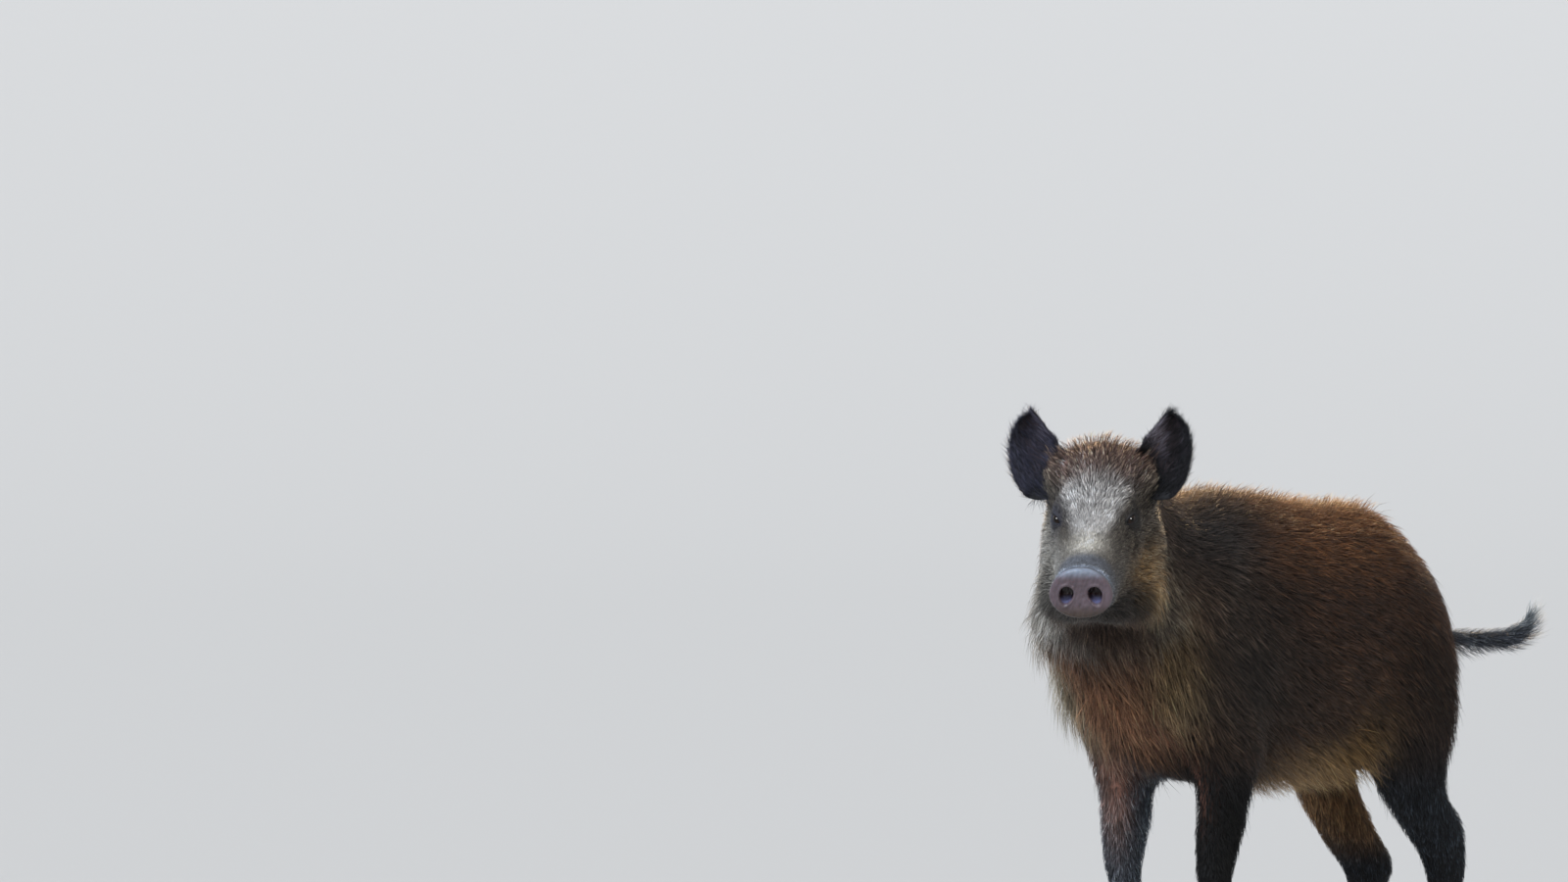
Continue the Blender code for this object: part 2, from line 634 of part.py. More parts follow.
def main():
    clear_scene()
    boar = new_collection("wild_boar")
    work = new_collection("work", in_render=False)
    coat = new_material("coat", FLESH_COLOUR, 0.85)
    dark = new_material("dark_coat", LEG_COLOUR, 0.80)
    ear_coat = new_material("ear_coat", EAR_COLOUR, 0.80)
    bare = new_material("snout_skin", BARE_COLOUR, 0.50)
    horn = new_material("horn", HORN_COLOUR, 0.45)
    glossy = new_material("eye_gloss", EYE_COLOUR, 0.08)

    forms = [trunk_form(work), neck_form(work), head_form(work), tail_form(work), *mass_forms(work)]
    for name in LEGS:
        forms += [leg_form(name, work), *toe_forms(name, work)]
    rest = fused_flesh(forms, work)
    grown = grown_copy(rest, work)

    pieces = feet(boar, work, grown, horn)
    for name in LEGS:
        cut(rest, foot_region(name, work)[1], "DIFFERENCE")
        frozen(rest)
    for side, word in ((1, "left"), (-1, "right")):
        middle = eye_middle(grown, side)
        radii, socket_radii = (EYE_RADIUS,) * 3, (EYE_RADIUS + CUT,) * 3
        eye = rounded(f"eye_{word}", middle, radii, 0, Matrix(), boar, segments=16)
        eye.data.materials.append(glossy)
        socket = rounded(f"socket_{word}", middle, socket_radii, 0, Matrix(), work, segments=16)
        cut(rest, socket, "DIFFERENCE")
        frozen(rest)
        ear = ear_form(side, boar)
        ear.name = f"ear_{word}"
        cut(ear, grown, "DIFFERENCE")
        frozen(ear).data.materials.append(ear_coat)
        pieces += [eye, ear]

    snout = snout_form(boar)
    snout.name = "snout"
    for side in (1, -1):
        at = (side * NOSTRIL_AT[0], NOSTRIL_AT[1], NOSTRIL_AT[2])
        nostril = rounded(f"nostril_{side}", at, NOSTRIL_RADII, 0, HEAD_FRAME, work, segments=12)
        cut(snout, nostril, "DIFFERENCE")
    frozen(snout).data.materials.append(bare)
    pieces.append(snout)
    muzzle_end = box("muzzle_end", (-0.1, -0.1, -0.1), (0.1, DISC_DEPTH + CUT, 0.1), HEAD_FRAME, work)
    cut(rest, muzzle_end, "DIFFERENCE")
    frozen(rest)

    head_region = region_pair("head", (-0.2, -0.05, -0.122), (0.2, 0.315, 0.3), HEAD_FRAME, work)
    tail_frame = leaning((0.004, 0.396, 0.442), (0.32, 0.92, -0.22))
    tail_region = region_pair("tail", (-0.06, 0.0, -0.06), (0.06, 0.3, 0.12), tail_frame, work)
    neck_frame = leaning((0.0, -0.290, 0.5), (0.0, 0.90, -0.42))
    neck_region = region_pair("neck", (-0.3, -0.4, -0.16), (0.3, 0.0, 0.4), neck_frame, work)
    parted = [("head", head_region, coat), ("tail", tail_region, dark), ("neck", neck_region, coat)]
    parted += [(name, leg_region(name, work), dark) for name in LEGS]
    for name, (region, wider), material in parted:
        piece = taken(rest, name, region, wider, boar)
        piece.data.materials.clear()
        piece.data.materials.append(material)
        pieces.append(piece)
    trunk = copy_of(rest, "trunk", boar)
    trunk.data.materials.clear()
    trunk.data.materials.append(coat)
    pieces.append(trunk)
    bpy.data.objects.remove(rest)
    stand_on_origin(pieces)


main()
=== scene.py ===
# %% [markdown]
# # A young wild boar, life-size and still
# The animal stands on four feet with its head turned to its left. Its solids come as a frame of flesh, ears,
# snout disc, eyes and hooves, whose outline is that of the coat's tips. This script gives them their looks:
# one skin under the coat, thousands of solid bristles over it, a moist snout, wet eyes and worn horn.

# %% Load the frame
import math

import bmesh
import bpy
import numpy as np
from mathutils import Matrix, Vector


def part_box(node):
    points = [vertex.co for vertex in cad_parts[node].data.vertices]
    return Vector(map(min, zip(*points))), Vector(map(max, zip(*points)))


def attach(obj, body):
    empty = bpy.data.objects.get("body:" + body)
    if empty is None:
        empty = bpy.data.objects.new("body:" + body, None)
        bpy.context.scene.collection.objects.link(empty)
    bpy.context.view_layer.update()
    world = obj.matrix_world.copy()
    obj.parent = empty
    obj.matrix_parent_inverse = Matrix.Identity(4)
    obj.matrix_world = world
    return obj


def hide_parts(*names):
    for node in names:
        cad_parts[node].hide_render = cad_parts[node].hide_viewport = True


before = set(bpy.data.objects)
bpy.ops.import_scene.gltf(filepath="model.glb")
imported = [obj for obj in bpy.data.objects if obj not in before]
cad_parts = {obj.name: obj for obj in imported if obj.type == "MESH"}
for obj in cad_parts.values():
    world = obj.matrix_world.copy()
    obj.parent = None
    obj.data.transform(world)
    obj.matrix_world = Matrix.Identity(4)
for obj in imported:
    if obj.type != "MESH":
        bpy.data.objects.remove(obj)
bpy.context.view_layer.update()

# %% [markdown]
# ## Two sets of axes
# A place on the body is easiest to name from the animal's own middle plane, and a place on the face from the
# middle of the snout disc, with +Y running back along the skull. Small functions turn points of the frame
# into those axes, so that every mark and fold below is named where an anatomist would name it.

# %% The body's and the head's own axes
MM = 0.001
SIDES = {"left": 1, "right": -1}
OWN_AT = np.array((-0.041085, 0.084076, 0.0))
SNOUT_AT = np.array((0.178, -0.684, 0.524)) + OWN_AT
HEAD_TURN, HEAD_DROP = math.radians(28.5), math.radians(16)
HEAD_AXES = np.array(Matrix.Rotation(HEAD_TURN, 3, "Z") @ Matrix.Rotation(HEAD_DROP, 3, "X"))


def own(points):
    """Points of the frame, measured from the animal's middle plane: x to its left, y to its tail, z up."""
    return points - OWN_AT


def in_head(points):
    """Points of the frame in the head's axes: x to its left, y back from the snout disc, z up."""
    return (points - SNOUT_AT) @ HEAD_AXES


def from_head(points):
    """The way back from the head's axes to the frame."""
    return np.asarray(points) @ HEAD_AXES.T + SNOUT_AT


print("snout disc at", SNOUT_AT.round(3))

# %% [markdown]
# ## Soft edges and layers
# Nothing on an animal starts at a hard edge. Shape, coat and colour are therefore built as a painter glazes:
# a first value everywhere, then goals laid over it in turn, each by a soft weight between 0 and 1.


# %% Weights, layers and noise
def rise(value, start, end):
    """0 before start, 1 after end, 3t^2 - 2t^3 between; it falls where start is past end."""
    t = np.clip((value - start) / (end - start), 0, 1)
    return t * t * (3 - 2 * t)


def spot(points, middle, radii):
    """1 in the middle of an ellipsoid and e^-1 on its surface, fading like a bell outside."""
    return np.exp(-((((points - np.array(middle)) / np.array(radii)) ** 2).sum(axis=-1)))


def both_sides(points, middle, radii):
    """The sum of a spot on the animal's left and its mirror image on the right."""
    return sum(spot(points, (side * middle[0], *middle[1:]), radii) for side in (1, -1))


def layered(start, rows):
    """Goals laid over a start in turn, each by its weight at every point: value + weight (goal - value)."""
    value = np.asarray(start, float)
    for weight, goal in rows:
        value = value + np.asarray(weight)[..., None] * (goal - value)
    return value


def together(*values):
    """Numbers and arrays stretched to one shape and stacked as columns, such as x, y and z."""
    return np.stack(np.broadcast_arrays(*values), -1).astype(float)


def noise(points, size, seed, waves=14):
    """Even, seamless noise of about -1 to 1: the sum of cosine waves of about one length in random ways."""
    rng = np.random.default_rng(seed)
    ways = rng.normal(size=(waves, 3))
    ways *= rng.uniform(0.7, 1.5, (waves, 1)) / (size * np.linalg.norm(ways, axis=1, keepdims=True))
    phases = rng.uniform(0, 2 * math.pi, waves)
    return np.cos(2 * math.pi * points @ ways.T + phases).sum(axis=1) * math.sqrt(0.5 / waves)


def unit(vectors):
    """Each vector divided by its length."""
    return vectors / np.maximum(np.linalg.norm(vectors, axis=-1, keepdims=True), 1e-12)


def around(count):
    """The angles of a full turn in equal steps."""
    return np.linspace(0, 2 * math.pi, count, endpoint=False)


def distances(points, line):
    """How far each point lies from each point of a line, as a table."""
    return np.sqrt(((points[:, None, :] - line[None]) ** 2).sum(axis=2))


def through(rows, per_gap):
    """A smooth Catmull-Rom curve through a table's rows, with per_gap steps in each gap."""
    rows = np.asarray(rows, float)
    padded = np.vstack([2 * rows[0] - rows[1], rows, 2 * rows[-1] - rows[-2]])
    a, b, c, d = padded[:-3, None], padded[1:-2, None], padded[2:-1, None], padded[3:, None]
    t = (np.arange(per_gap) / per_gap)[None, :, None]
    curve = b + 0.5 * ((c - a) * t + (2 * a - 5 * b + 4 * c - d) * t**2 + (3 * b - a - 3 * c + d) * t**3)
    return np.vstack([curve.reshape(-1, rows.shape[1]), rows[-1:]])


print("noise at the snout:", noise(SNOUT_AT[None], 0.02, 1).round(2))

# %% [markdown]
# ## Small tools for meshes and materials
# Every new piece ends as arrays of points and triangles, so one function writes arrays into a mesh in one go.
# Another adds a shader node with its settings and links, which keeps each material short enough to read as
# a recipe. Colours are written as the hex values a painter would pick and turned to linear light once.


# %% Mesh and material tools
def linear(tones):
    """Hex sRGB tones as linear red, green, blue: below 0.04045 s / 12.92, else ((s + 0.055) / 1.055)^2.4."""
    s = np.array(list(bytes.fromhex(tones))) / 255
    return np.where(s <= 0.04045, s / 12.92, ((s + 0.055) / 1.055) ** 2.4)


def painted(start, *rows):
    """Colours at points: tones laid over a first tone in turn, each by its weight."""
    return layered(linear(start), [(weight, linear(tone)) for weight, tone in rows])


def opaque(tone):
    """A tone as the red, green, blue and alpha that a socket holds."""
    return (*linear(tone), 1.0)


def placed(name, data):
    """An object with the given data, linked to the scene."""
    made = bpy.data.objects.new(name, data)
    bpy.context.scene.collection.objects.link(made)
    return made


def piece(name, points, faces, material, slot, *replaced):
    """A piece from points and triangles, at the origin; it rides on the body and may replace nodes."""
    mesh = bpy.data.meshes.new(name)
    mesh.vertices.add(len(points))
    mesh.vertices.foreach_set("co", points.astype(np.float32).ravel())
    mesh.loops.add(faces.size)
    mesh.loops.foreach_set("vertex_index", faces.astype(np.int32).ravel())
    mesh.polygons.add(len(faces))
    mesh.polygons.foreach_set("loop_start", np.arange(0, faces.size, 3, dtype=np.int32))
    mesh.polygons.foreach_set("use_smooth", np.full(len(faces), True))
    mesh.update(calc_edges=True)
    mesh.materials.append(material)
    made = placed(name, mesh)
    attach(made, "root")
    if replaced:
        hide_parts(*replaced)
    print(f"{name}: {len(points)} points, {len(faces)} triangles")
    return made


def mark(obj, name, values):
    """Stores one number or one colour for each point of a piece, for its material to read."""
    kind, key = ("FLOAT", "value") if np.ndim(values) == 1 else ("FLOAT_COLOR", "color")
    if key == "color":
        values = np.column_stack([values, np.ones(len(values))])
    layer = obj.data.attributes.new(name, kind, "POINT")
    layer.data.foreach_set(key, np.ascontiguousarray(values, np.float32).ravel())


def add(tree, kind, inputs=None, **settings):
    """Adds a shader node: settings are its properties, an input is a socket to link or a value to hold."""
    made = tree.nodes.new("ShaderNode" + kind)
    for name, value in settings.items():
        setattr(made, name, value)
    for name, value in (inputs or {}).items():
        if isinstance(value, bpy.types.NodeSocket):
            tree.links.new(value, made.inputs[name])
        else:
            made.inputs[name].default_value = value
    return made


def new_material(name, **values):
    """A Principled material with values set on its shader's sockets. Returns it, its tree and its shader."""
    material = bpy.data.materials.new(name)
    material.use_nodes = True
    shader = material.node_tree.nodes["Principled BSDF"]
    for socket, value in values.items():
        shader.inputs[socket.replace("_", " ")].default_value = value
    return material, material.node_tree, shader


def living_skin(tree, shader, colour, blotch, detail, darkest, palest, pore=0.0, deep=0.0):
    """Blotches of a real size that darken and lighten a colour, and pores as a bump so many mm deep."""
    place = add(tree, "TexCoord").outputs["Object"]
    cloud = add(tree, "TexNoise", {"Vector": place, "Scale": 1 / blotch, "Detail": detail}).outputs["Fac"]
    limits = {"From Min": 0.3, "From Max": 0.7, "To Min": darkest, "To Max": palest}
    shade = add(tree, "MapRange", {"Value": cloud, **limits}).outputs["Result"]
    tinted = add(tree, "VectorMath", {0: colour, "Scale": shade}, operation="SCALE")
    tree.links.new(tinted.outputs["Vector"], shader.inputs["Base Color"])
    if pore:
        pits = add(tree, "TexVoronoi", {"Vector": place, "Scale": 1 / pore}).outputs["Distance"]
        bump = add(tree, "Bump", {"Height": pits, "Strength": deep, "Distance": deep * MM})
        tree.links.new(bump.outputs["Normal"], shader.inputs["Normal"])


def grid_faces(rows, columns):
    """The four-cornered faces of a grid of points, row by row, each row's end joined to its start."""
    r, c = np.arange(rows - 1)[:, None], np.arange(columns)[None, :]
    n = (c + 1) % columns
    corners = [r * columns + c, r * columns + n, (r + 1) * columns + n, (r + 1) * columns + c]
    return np.stack(corners, -1).reshape(-1, 4)


print("a middle grey in linear light:", linear("808080").round(3))

# %% [markdown]
# ## The camera, the floor and the light
# The camera looks from the animal's left front, a little above the horizontal, through a long lens from far
# away, as one watches a shy animal. A wide soft lamp on the camera's left is cool like open sky, a warmer
# one behind and above puts an edge of light on the bristles of the back, and two weak lamps and the pale
# world fill in. All are distant, so the floor is lit evenly, and it curves up into a wall far away with no
# corner. Light linking keeps the warm lamp off the floor and the snout, and the sky lamp off the eyes.

# %% Camera and light
VIEW_FAR = 14.0
VIEW_AIM = Vector((-0.4236, -0.4649, 0.7102))
FRAME_WIDE = 2.0416  # what the frame's width spans at the aim, in metres
SENSOR = 36.0  # the camera's sensor is so many mm wide
LAMP_FAR = 6.0
FLOOR_FLAT, FLOOR_BEND = 16.0, 60.0  # where the floor starts to rise, and the radius of its curve


def towards(turn, climb):
    """A unit vector by degrees round the animal, from straight ahead to its left, and degrees up."""
    turn, climb = math.radians(turn), math.radians(climb)
    return Vector((math.sin(turn) * math.cos(climb), -math.cos(turn) * math.cos(climb), math.sin(climb)))


def lamp(name, turn, climb, spread, strength, colour):
    """A distant soft lamp: where it stands round the animal, how high and how wide it looks, in degrees."""
    made = placed(name, bpy.data.lights.new(name, "SUN"))
    made.data.angle = math.radians(spread)
    made.data.energy = strength
    made.data.color = linear(colour)
    made.location = LAMP_FAR * towards(turn, climb)
    made.rotation_euler = towards(turn, climb).to_track_quat("Z", "Y").to_euler()
    return made


def leave_out(light, obj):
    """Makes a lamp pass by an object: it joins the lamp's own collection as one that isn't lit."""
    group = light.light_linking.receiver_collection
    group.objects.link(obj)
    group.collection_objects[-1].light_linking.link_state = "EXCLUDE"


VIEW_WAY = towards(36, 1)
camera = placed("camera", bpy.data.cameras.new("camera"))
camera.location = VIEW_AIM + VIEW_WAY * VIEW_FAR
camera.rotation_euler = VIEW_WAY.to_track_quat("Z", "Y").to_euler()
camera.data.sensor_width = SENSOR
camera.data.lens = SENSOR * VIEW_FAR / FRAME_WIDE
camera.data.clip_end = 200
bpy.context.scene.camera = camera
bpy.context.scene.view_settings.view_transform = "Standard"

sky_lamp = lamp("sky_lamp", -8, 44, 32, 2.75, "e6f0ff")
lamp("front_lamp", 27, 20, 10, 0.4, "ffffff")
lamp("side_lamp", 80, 30, 60, 0.45, "fff2e0")
sun_lamp = lamp("sun_lamp", 212, 27, 9, 3.4, "ffd9a6")
for light in (sun_lamp, sky_lamp):
    light.light_linking.receiver_collection = bpy.data.collections.new("passed_by_" + light.name)

world = bpy.data.worlds.new("pale_studio")
world.use_nodes = True
for socket, value in (("Color", opaque("e9ebee")), ("Strength", 0.62)):
    world.node_tree.nodes["Background"].inputs[socket].default_value = value
bpy.context.scene.world = world

floor_paint, tree, shader = new_material("Matt pale floor paint", Roughness=0.9, Base_Color=opaque("c6c4c0"))
slope = np.linspace(0.02, math.radians(30), 24)
reach = np.concatenate([[0.01, 6, 11, FLOOR_FLAT], FLOOR_FLAT + FLOOR_BEND * np.sin(slope)])[:, None]
climb = np.concatenate([np.zeros(4), FLOOR_BEND - FLOOR_BEND * np.cos(slope)])[:, None]
turn = around(96)
bowl = together(reach * np.cos(turn), reach * np.sin(turn), climb)
faces = grid_faces(*bowl.shape[:2]).tolist() + [tuple(range(len(turn)))[::-1]]
floor = placed("floor", bpy.data.meshes.new("floor"))
floor.data.from_pydata(bowl.reshape(-1, 3), [], faces)
floor.data.polygons.foreach_set("use_smooth", np.full(len(faces), True))
floor.data.materials.append(floor_paint)
leave_out(sun_lamp, floor)
print("camera", tuple(round(v, 3) for v in camera.location), "lens", round(camera.data.lens, 1))

# %% [markdown]
# ## The skin's surface
# Under its coat the boar is one smooth skin. The flesh solids are copied, joined and remeshed with voxels,
# which closes the thin cuts between them; smoothing then takes off the solids' flat facets, more on the big
# trunk than on the face. Sculpting by hand would do the same, but a remesh keeps the true proportions.

# %% Join and remesh the flesh
FLESH = ("head", "neck", "trunk", "tail", "foreleg_left", "foreleg_right", "hindleg_left", "hindleg_right")
VOXEL = 4.7 * MM


def arrays_of(mesh, corners):
    """A mesh's points and its faces, of so many corners each, as arrays."""
    points, faces = np.empty(3 * len(mesh.vertices)), np.empty(corners * len(mesh.polygons), np.int32)
    mesh.vertices.foreach_get("co", points)
    mesh.polygons.foreach_get("vertices", faces)
    return points.reshape(-1, 3), faces.reshape(-1, corners)


def remeshed(names, voxel):
    """The named nodes as one closed mesh of quads: points and faces."""
    bm = bmesh.new()
    for name in names:
        bm.from_mesh(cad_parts[name].data)
    bmesh.ops.remove_doubles(bm, verts=bm.verts, dist=1e-5)
    holder = placed("joined", bpy.data.meshes.new("joined"))
    bm.to_mesh(holder.data)
    bm.free()
    fuse = holder.modifiers.new("Fuse", "REMESH")
    fuse.mode = "VOXEL"
    fuse.voxel_size = voxel
    graph = bpy.context.evaluated_depsgraph_get()
    found = arrays_of(holder.evaluated_get(graph).to_mesh(), 4)
    bpy.data.objects.remove(holder)
    return found


def edges_of(faces):
    """Every pair of neighbouring points, once."""
    pairs = np.stack([faces, np.roll(faces, -1, axis=1)], -1).reshape(-1, 2)
    return np.unique(np.sort(pairs, axis=1), axis=0)


def summed(values, at, number):
    """For each of a number of places, the sum of the rows of values that belong to it."""
    return np.stack([np.bincount(at, column, number) for column in values.T], -1)


def smoothed(values, edges, rounds, share=0.5):
    """Values moved a share of the way to their neighbours' mean, for a number of rounds."""
    ends = np.concatenate([edges, edges[:, ::-1]])
    count = np.maximum(np.bincount(ends[:, 0], minlength=len(values)), 1)[:, None]
    share = np.broadcast_to(share, len(values))[:, None]
    for _ in range(rounds):
        values = values + share * (summed(values[ends[:, 1]], ends[:, 0], len(values)) / count - values)
    return values


def normals_of(points, faces):
    """Outward unit vectors at the points: the sum of the area vectors of the faces round each."""
    a, b, c = (points[faces[:, k]] for k in (0, 1, 2))
    face = np.cross(b - a, c - a)
    if faces.shape[1] == 4:
        face = face + np.cross(c - a, points[faces[:, 3]] - a)
    return unit(summed(np.repeat(face, faces.shape[1], axis=0), faces.ravel(), len(points)))


hide_points, hide_faces = remeshed((*FLESH, "eye_left", "eye_right"), VOXEL)
hide_edges = edges_of(hide_faces)
print("joined flesh:", len(hide_points), "points")

# %% [markdown]
# ## Regions of the body
# Coat, colour and softness all change from part to part, so a few smooth masks say what each point belongs
# to: head, legs, tail, crest, throat and belly. Each is 1 inside its part and fades to 0 at its edges, so
# whatever they steer changes as gently as on the living animal. Hard-edged vertex groups would show.

# %% Region masks
TAIL_BENDS = [  # in the animal's own axes
    (0.000, 0.320, 0.480),
    (0.006, 0.372, 0.448),
    (0.020, 0.412, 0.435),
    (0.035, 0.443, 0.433),
    (0.051, 0.476, 0.431),
    (0.068, 0.506, 0.433),
    (0.080, 0.524, 0.444),
    (0.085, 0.533, 0.466),
]
TAIL_LINE = through(TAIL_BENDS, 4)
TAIL_STARTS = 6  # the tail's own hair starts at this point of the line


def regions(points):
    """Smooth masks for the parts of the body, by name, at points of the frame."""
    p, h = own(points), in_head(points)
    x, y, z = p.T
    head = rise(h[:, 1], 0.345, 0.285) * rise(h[:, 2], -0.165, -0.115)
    off_tail = distances(p, TAIL_LINE[TAIL_STARTS:]).min(axis=1)
    tail = rise(off_tail, 0.042, 0.024) * rise(y, 0.372, 0.400)
    fore = rise(y, -0.09, -0.15) * rise(z, 0.34, 0.24) * (1 - head)
    hind = rise(y, 0.08, 0.14) * rise(z, 0.38, 0.24) * (1 - tail)
    middle = np.exp(-((x / 0.040) ** 2))
    crest = middle * rise(z, 0.52, 0.60) * rise(y, -0.46, -0.40) * rise(y, 0.27, 0.16) * (1 - head)
    throat = rise(y, -0.24, -0.33) * rise(z, 0.56, 0.46) * rise(z, 0.22, 0.30) * (1 - head)
    belly = rise(z, 0.34, 0.275) * rise(np.abs(y), 0.17, 0.11) * (1 - fore) * (1 - hind)
    return dict(head=head, tail=tail, fore=fore, hind=hind, crest=crest, throat=throat, belly=belly)


def places(points):
    """Points in the body's axes, their columns, points in the head's axes, their columns, and the masks."""
    p, h = own(points), in_head(points)
    return p, p.T, h, h.T, regions(points)


print("the tail's line has", len(TAIL_LINE), "points")


# %% Smooth the skin
p, (x, y, z), h, (hx, hy, hz), mask = places(hide_points)
legs = np.maximum(mask["fore"], mask["hind"]) * rise(z, 0.27, 0.22)
jaw = rise(hz, -0.035, -0.060) * rise(hy, 0.045, 0.070)
softness = np.clip(1 - 0.78 * mask["head"] * (1 - jaw) - 0.85 * legs - 0.9 * mask["tail"], 0.08, 1)
hide_points = smoothed(hide_points, hide_edges, 46, 0.5 * softness)
h = in_head(hide_points)
under_jaw = rise(h[:, 2], -0.030, -0.055) * rise(h[:, 1], 0.030, 0.060) * mask["head"]
ear_roots = spot(np.abs(h), (0.078, 0.275, 0.085), (0.030, 0.040, 0.035))
hide_points = smoothed(hide_points, hide_edges, 60, 0.5 * np.clip(under_jaw + 0.8 * ear_roots, 0, 1))
x, y, z = own(hide_points).T
hams = rise(y, 0.19, 0.25) * rise(z, 0.20, 0.25) * rise(z, 0.42, 0.36)
hide_points = smoothed(hide_points, hide_edges, 90, 0.5 * hams * (1 - mask["tail"]))
print("skin smoothed, box", hide_points.min(axis=0).round(3), hide_points.max(axis=0).round(3))

# %% [markdown]
# ## How deep the coat is
# The solids end at the coat's tips, so the skin lies inside them by the coat's depth: a finger's width on
# the crest, half of that on the flanks and next to nothing on the muzzle and the pasterns. Moving every
# point in along its own normal by that depth keeps the outline the right size once the bristles stand on it.


# %% Depth, length, width and number of bristles
def coat_measures(points):
    """Depth, length and width of the coat in mm, and bristles per square centimetre, as columns."""
    _, (_, y, z), h, (hx, hy, hz), m = places(points)
    rows = [
        (rise(y, -0.20, -0.34), (12.5, 33, 1.3, 7.0)),  # neck
        (m["throat"], (14, 38, 1.25, 7.0)),
        (m["belly"], (12, 38, 1.25, 7.0)),
        (m["crest"], (21, 44, 1.3, 9)),
        (rise(y, 0.28, 0.36) * rise(z, 0.30, 0.36), (8, 26, 1.25, 8)),  # buttocks
    ]
    for leg in (m["fore"], m["hind"]):
        rows += [
            (leg, (8, 24, 1.2, 9)),
            (leg * rise(z, 0.26, 0.17), (4.5, 15, 1.05, 14)),
            (leg * rise(z, 0.16, 0.09), (2.6, 10, 0.95, 22)),
            (leg * rise(z, 0.06, 0.035), (1.7, 12, 0.9, 32)),
        ]
    head = m["head"]
    bridge = rise(np.abs(hx), 0.045, 0.025) * rise(hy, 0.10, 0.14) * rise(hy, 0.22, 0.18)
    rows += [
        (m["tail"], (4.0, 18, 1.0, 22)),
        (head, (8.5, 22, 1.1, 17)),
        (head * rise(hz, 0.02, 0.06) * rise(hy, 0.17, 0.22), (9.0, 24, 1.2, 18)),  # forehead and crown
        (head * bridge, (5.0, 16, 1.05, 25)),
        (head * rise(hy, 0.20, 0.13) * rise(hz, -0.045, -0.02), (3.0, 10, 0.85, 38)),  # side of the nose
        (head * rise(hy, 0.10, 0.05), (1.5, 5.5, 0.7, 60)),  # muzzle
        (head * rise(hz, -0.03, -0.06) * rise(hy, 0.11, 0.16), (10.5, 36, 1.15, 15)),  # whiskers of the jaw
        (head * rise(hz, -0.02, -0.04) * rise(hy, 0.12, 0.06), (2.6, 12, 0.8, 32)),  # chin
    ]
    for side in (1, -1):
        round_eye = spot(h, (side * 0.056, 0.178, 0.043), (0.021, 0.024, 0.019))
        rows.append((round_eye, (1.4, 5, 0.6, 55)))
    return layered((11.0, 33.0, 1.35, 6.2), rows)


depth = smoothed(coat_measures(hide_points)[:, :1], hide_edges, 12)[:, 0] * MM
hide_points = hide_points - normals_of(hide_points, hide_faces) * depth[:, None]
hide_points = smoothed(hide_points, hide_edges, 3, 0.4 * softness)
print("coat depth", (depth.min() / MM).round(1), "to", (depth.max() / MM).round(1), "mm")

# %% [markdown]
# ## Finer mesh where the face is finest
# Lids and lips are folds of a millimetre or two, too fine for the skin's own spacing. Cutting only the faces
# near the eyes and along the mouth into smaller ones gives the sculpting room to work, and leaves the rest
# of the skin light. The mouth's line is a curve in the head's axes, the same on both sides.

# %% Cut the skin finer at the eyes and the mouth
EYE_DEEPER = 2.5 * MM
EYE_MIDDLES = {}
for word, side in SIDES.items():
    EYE_MIDDLES[word] = np.mean(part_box("eye_" + word), axis=0) - HEAD_AXES[:, 0] * side * EYE_DEEPER
EYE_RADIUS = (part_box("eye_left")[1][0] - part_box("eye_left")[0][0]) / 2 - 0.5 * MM
EYE_REACH = (0.034, 0.025, 0.019)  # how far from an eye each round of cuts goes
MOUTH_BENDS = [(0.030, -0.034), (0.062, -0.037), (0.096, -0.040), (0.128, -0.037), (0.146, -0.031)]
MOUTH_LINE = through(MOUTH_BENDS, 12)  # back from the disc, and up


def off_mouth(points):
    """How far points lie from the mouth's line, seen from the head's side, and how far behind the disc."""
    h = in_head(points)
    return distances(h[:, 1:], MOUTH_LINE).min(axis=1), h[:, 1]


def cut_finer(points, faces, near, rounds):
    """Faces whose points are near enough are cut in four, a few rounds; everything ends as triangles."""
    mesh = bpy.data.meshes.new("skin_work")
    mesh.from_pydata(points, [], faces.tolist())
    bm = bmesh.new()
    bm.from_mesh(mesh)
    for level in range(rounds):
        chosen = near(np.array([v.co for v in bm.verts]), level)
        edges = [e for e in bm.edges if chosen[e.verts[0].index] and chosen[e.verts[1].index]]
        bmesh.ops.subdivide_edges(bm, edges=edges, cuts=1, use_grid_fill=True, smooth=0.0)
        bm.verts.index_update()
    bmesh.ops.triangulate(bm, faces=bm.faces)
    bm.to_mesh(mesh)
    bm.free()
    return arrays_of(mesh, 3)


def near_folds(points, level):
    """True within reach of an eye, or of the mouth on the first level."""
    off_eye = np.min([np.linalg.norm(points - at, axis=1) for at in EYE_MIDDLES.values()], axis=0)
    apart, back = off_mouth(points)
    return (off_eye < EYE_REACH[level]) | (apart < 0.010) & (back > 0.02) & (back < 0.17) & (level < 1)


hide_points, hide_faces = cut_finer(hide_points, hide_faces, near_folds, len(EYE_REACH))
hide_edges = edges_of(hide_faces)
print("skin now", len(hide_faces), "triangles, eye radius", round(EYE_RADIUS / MM, 1), "mm")

# %% [markdown]
# ## Lids and lips
# The eye sits deep between two lids. Near an eye each point of the skin is moved straight out from or in to
# the eye's middle: just over the ball outside an almond-shaped opening, and behind its surface inside it.
# That is how a lid really lies, stretched over a ball. The mouth is a groove with a slight swell beside it,
# and the muzzle flares a little where it meets the snout disc.

# %% Sculpt the lids and the mouth
OPENING, OPENING_UP, OPENING_DOWN = 8.8 * MM, 4.3 * MM, 3.4 * MM  # half the length, and the half-heights
LID_THICK = 1.3 * MM
LID_RADIUS = EYE_RADIUS + LID_THICK
FLARE_SIDE, FLARE_UP = 0.0395, 0.0322


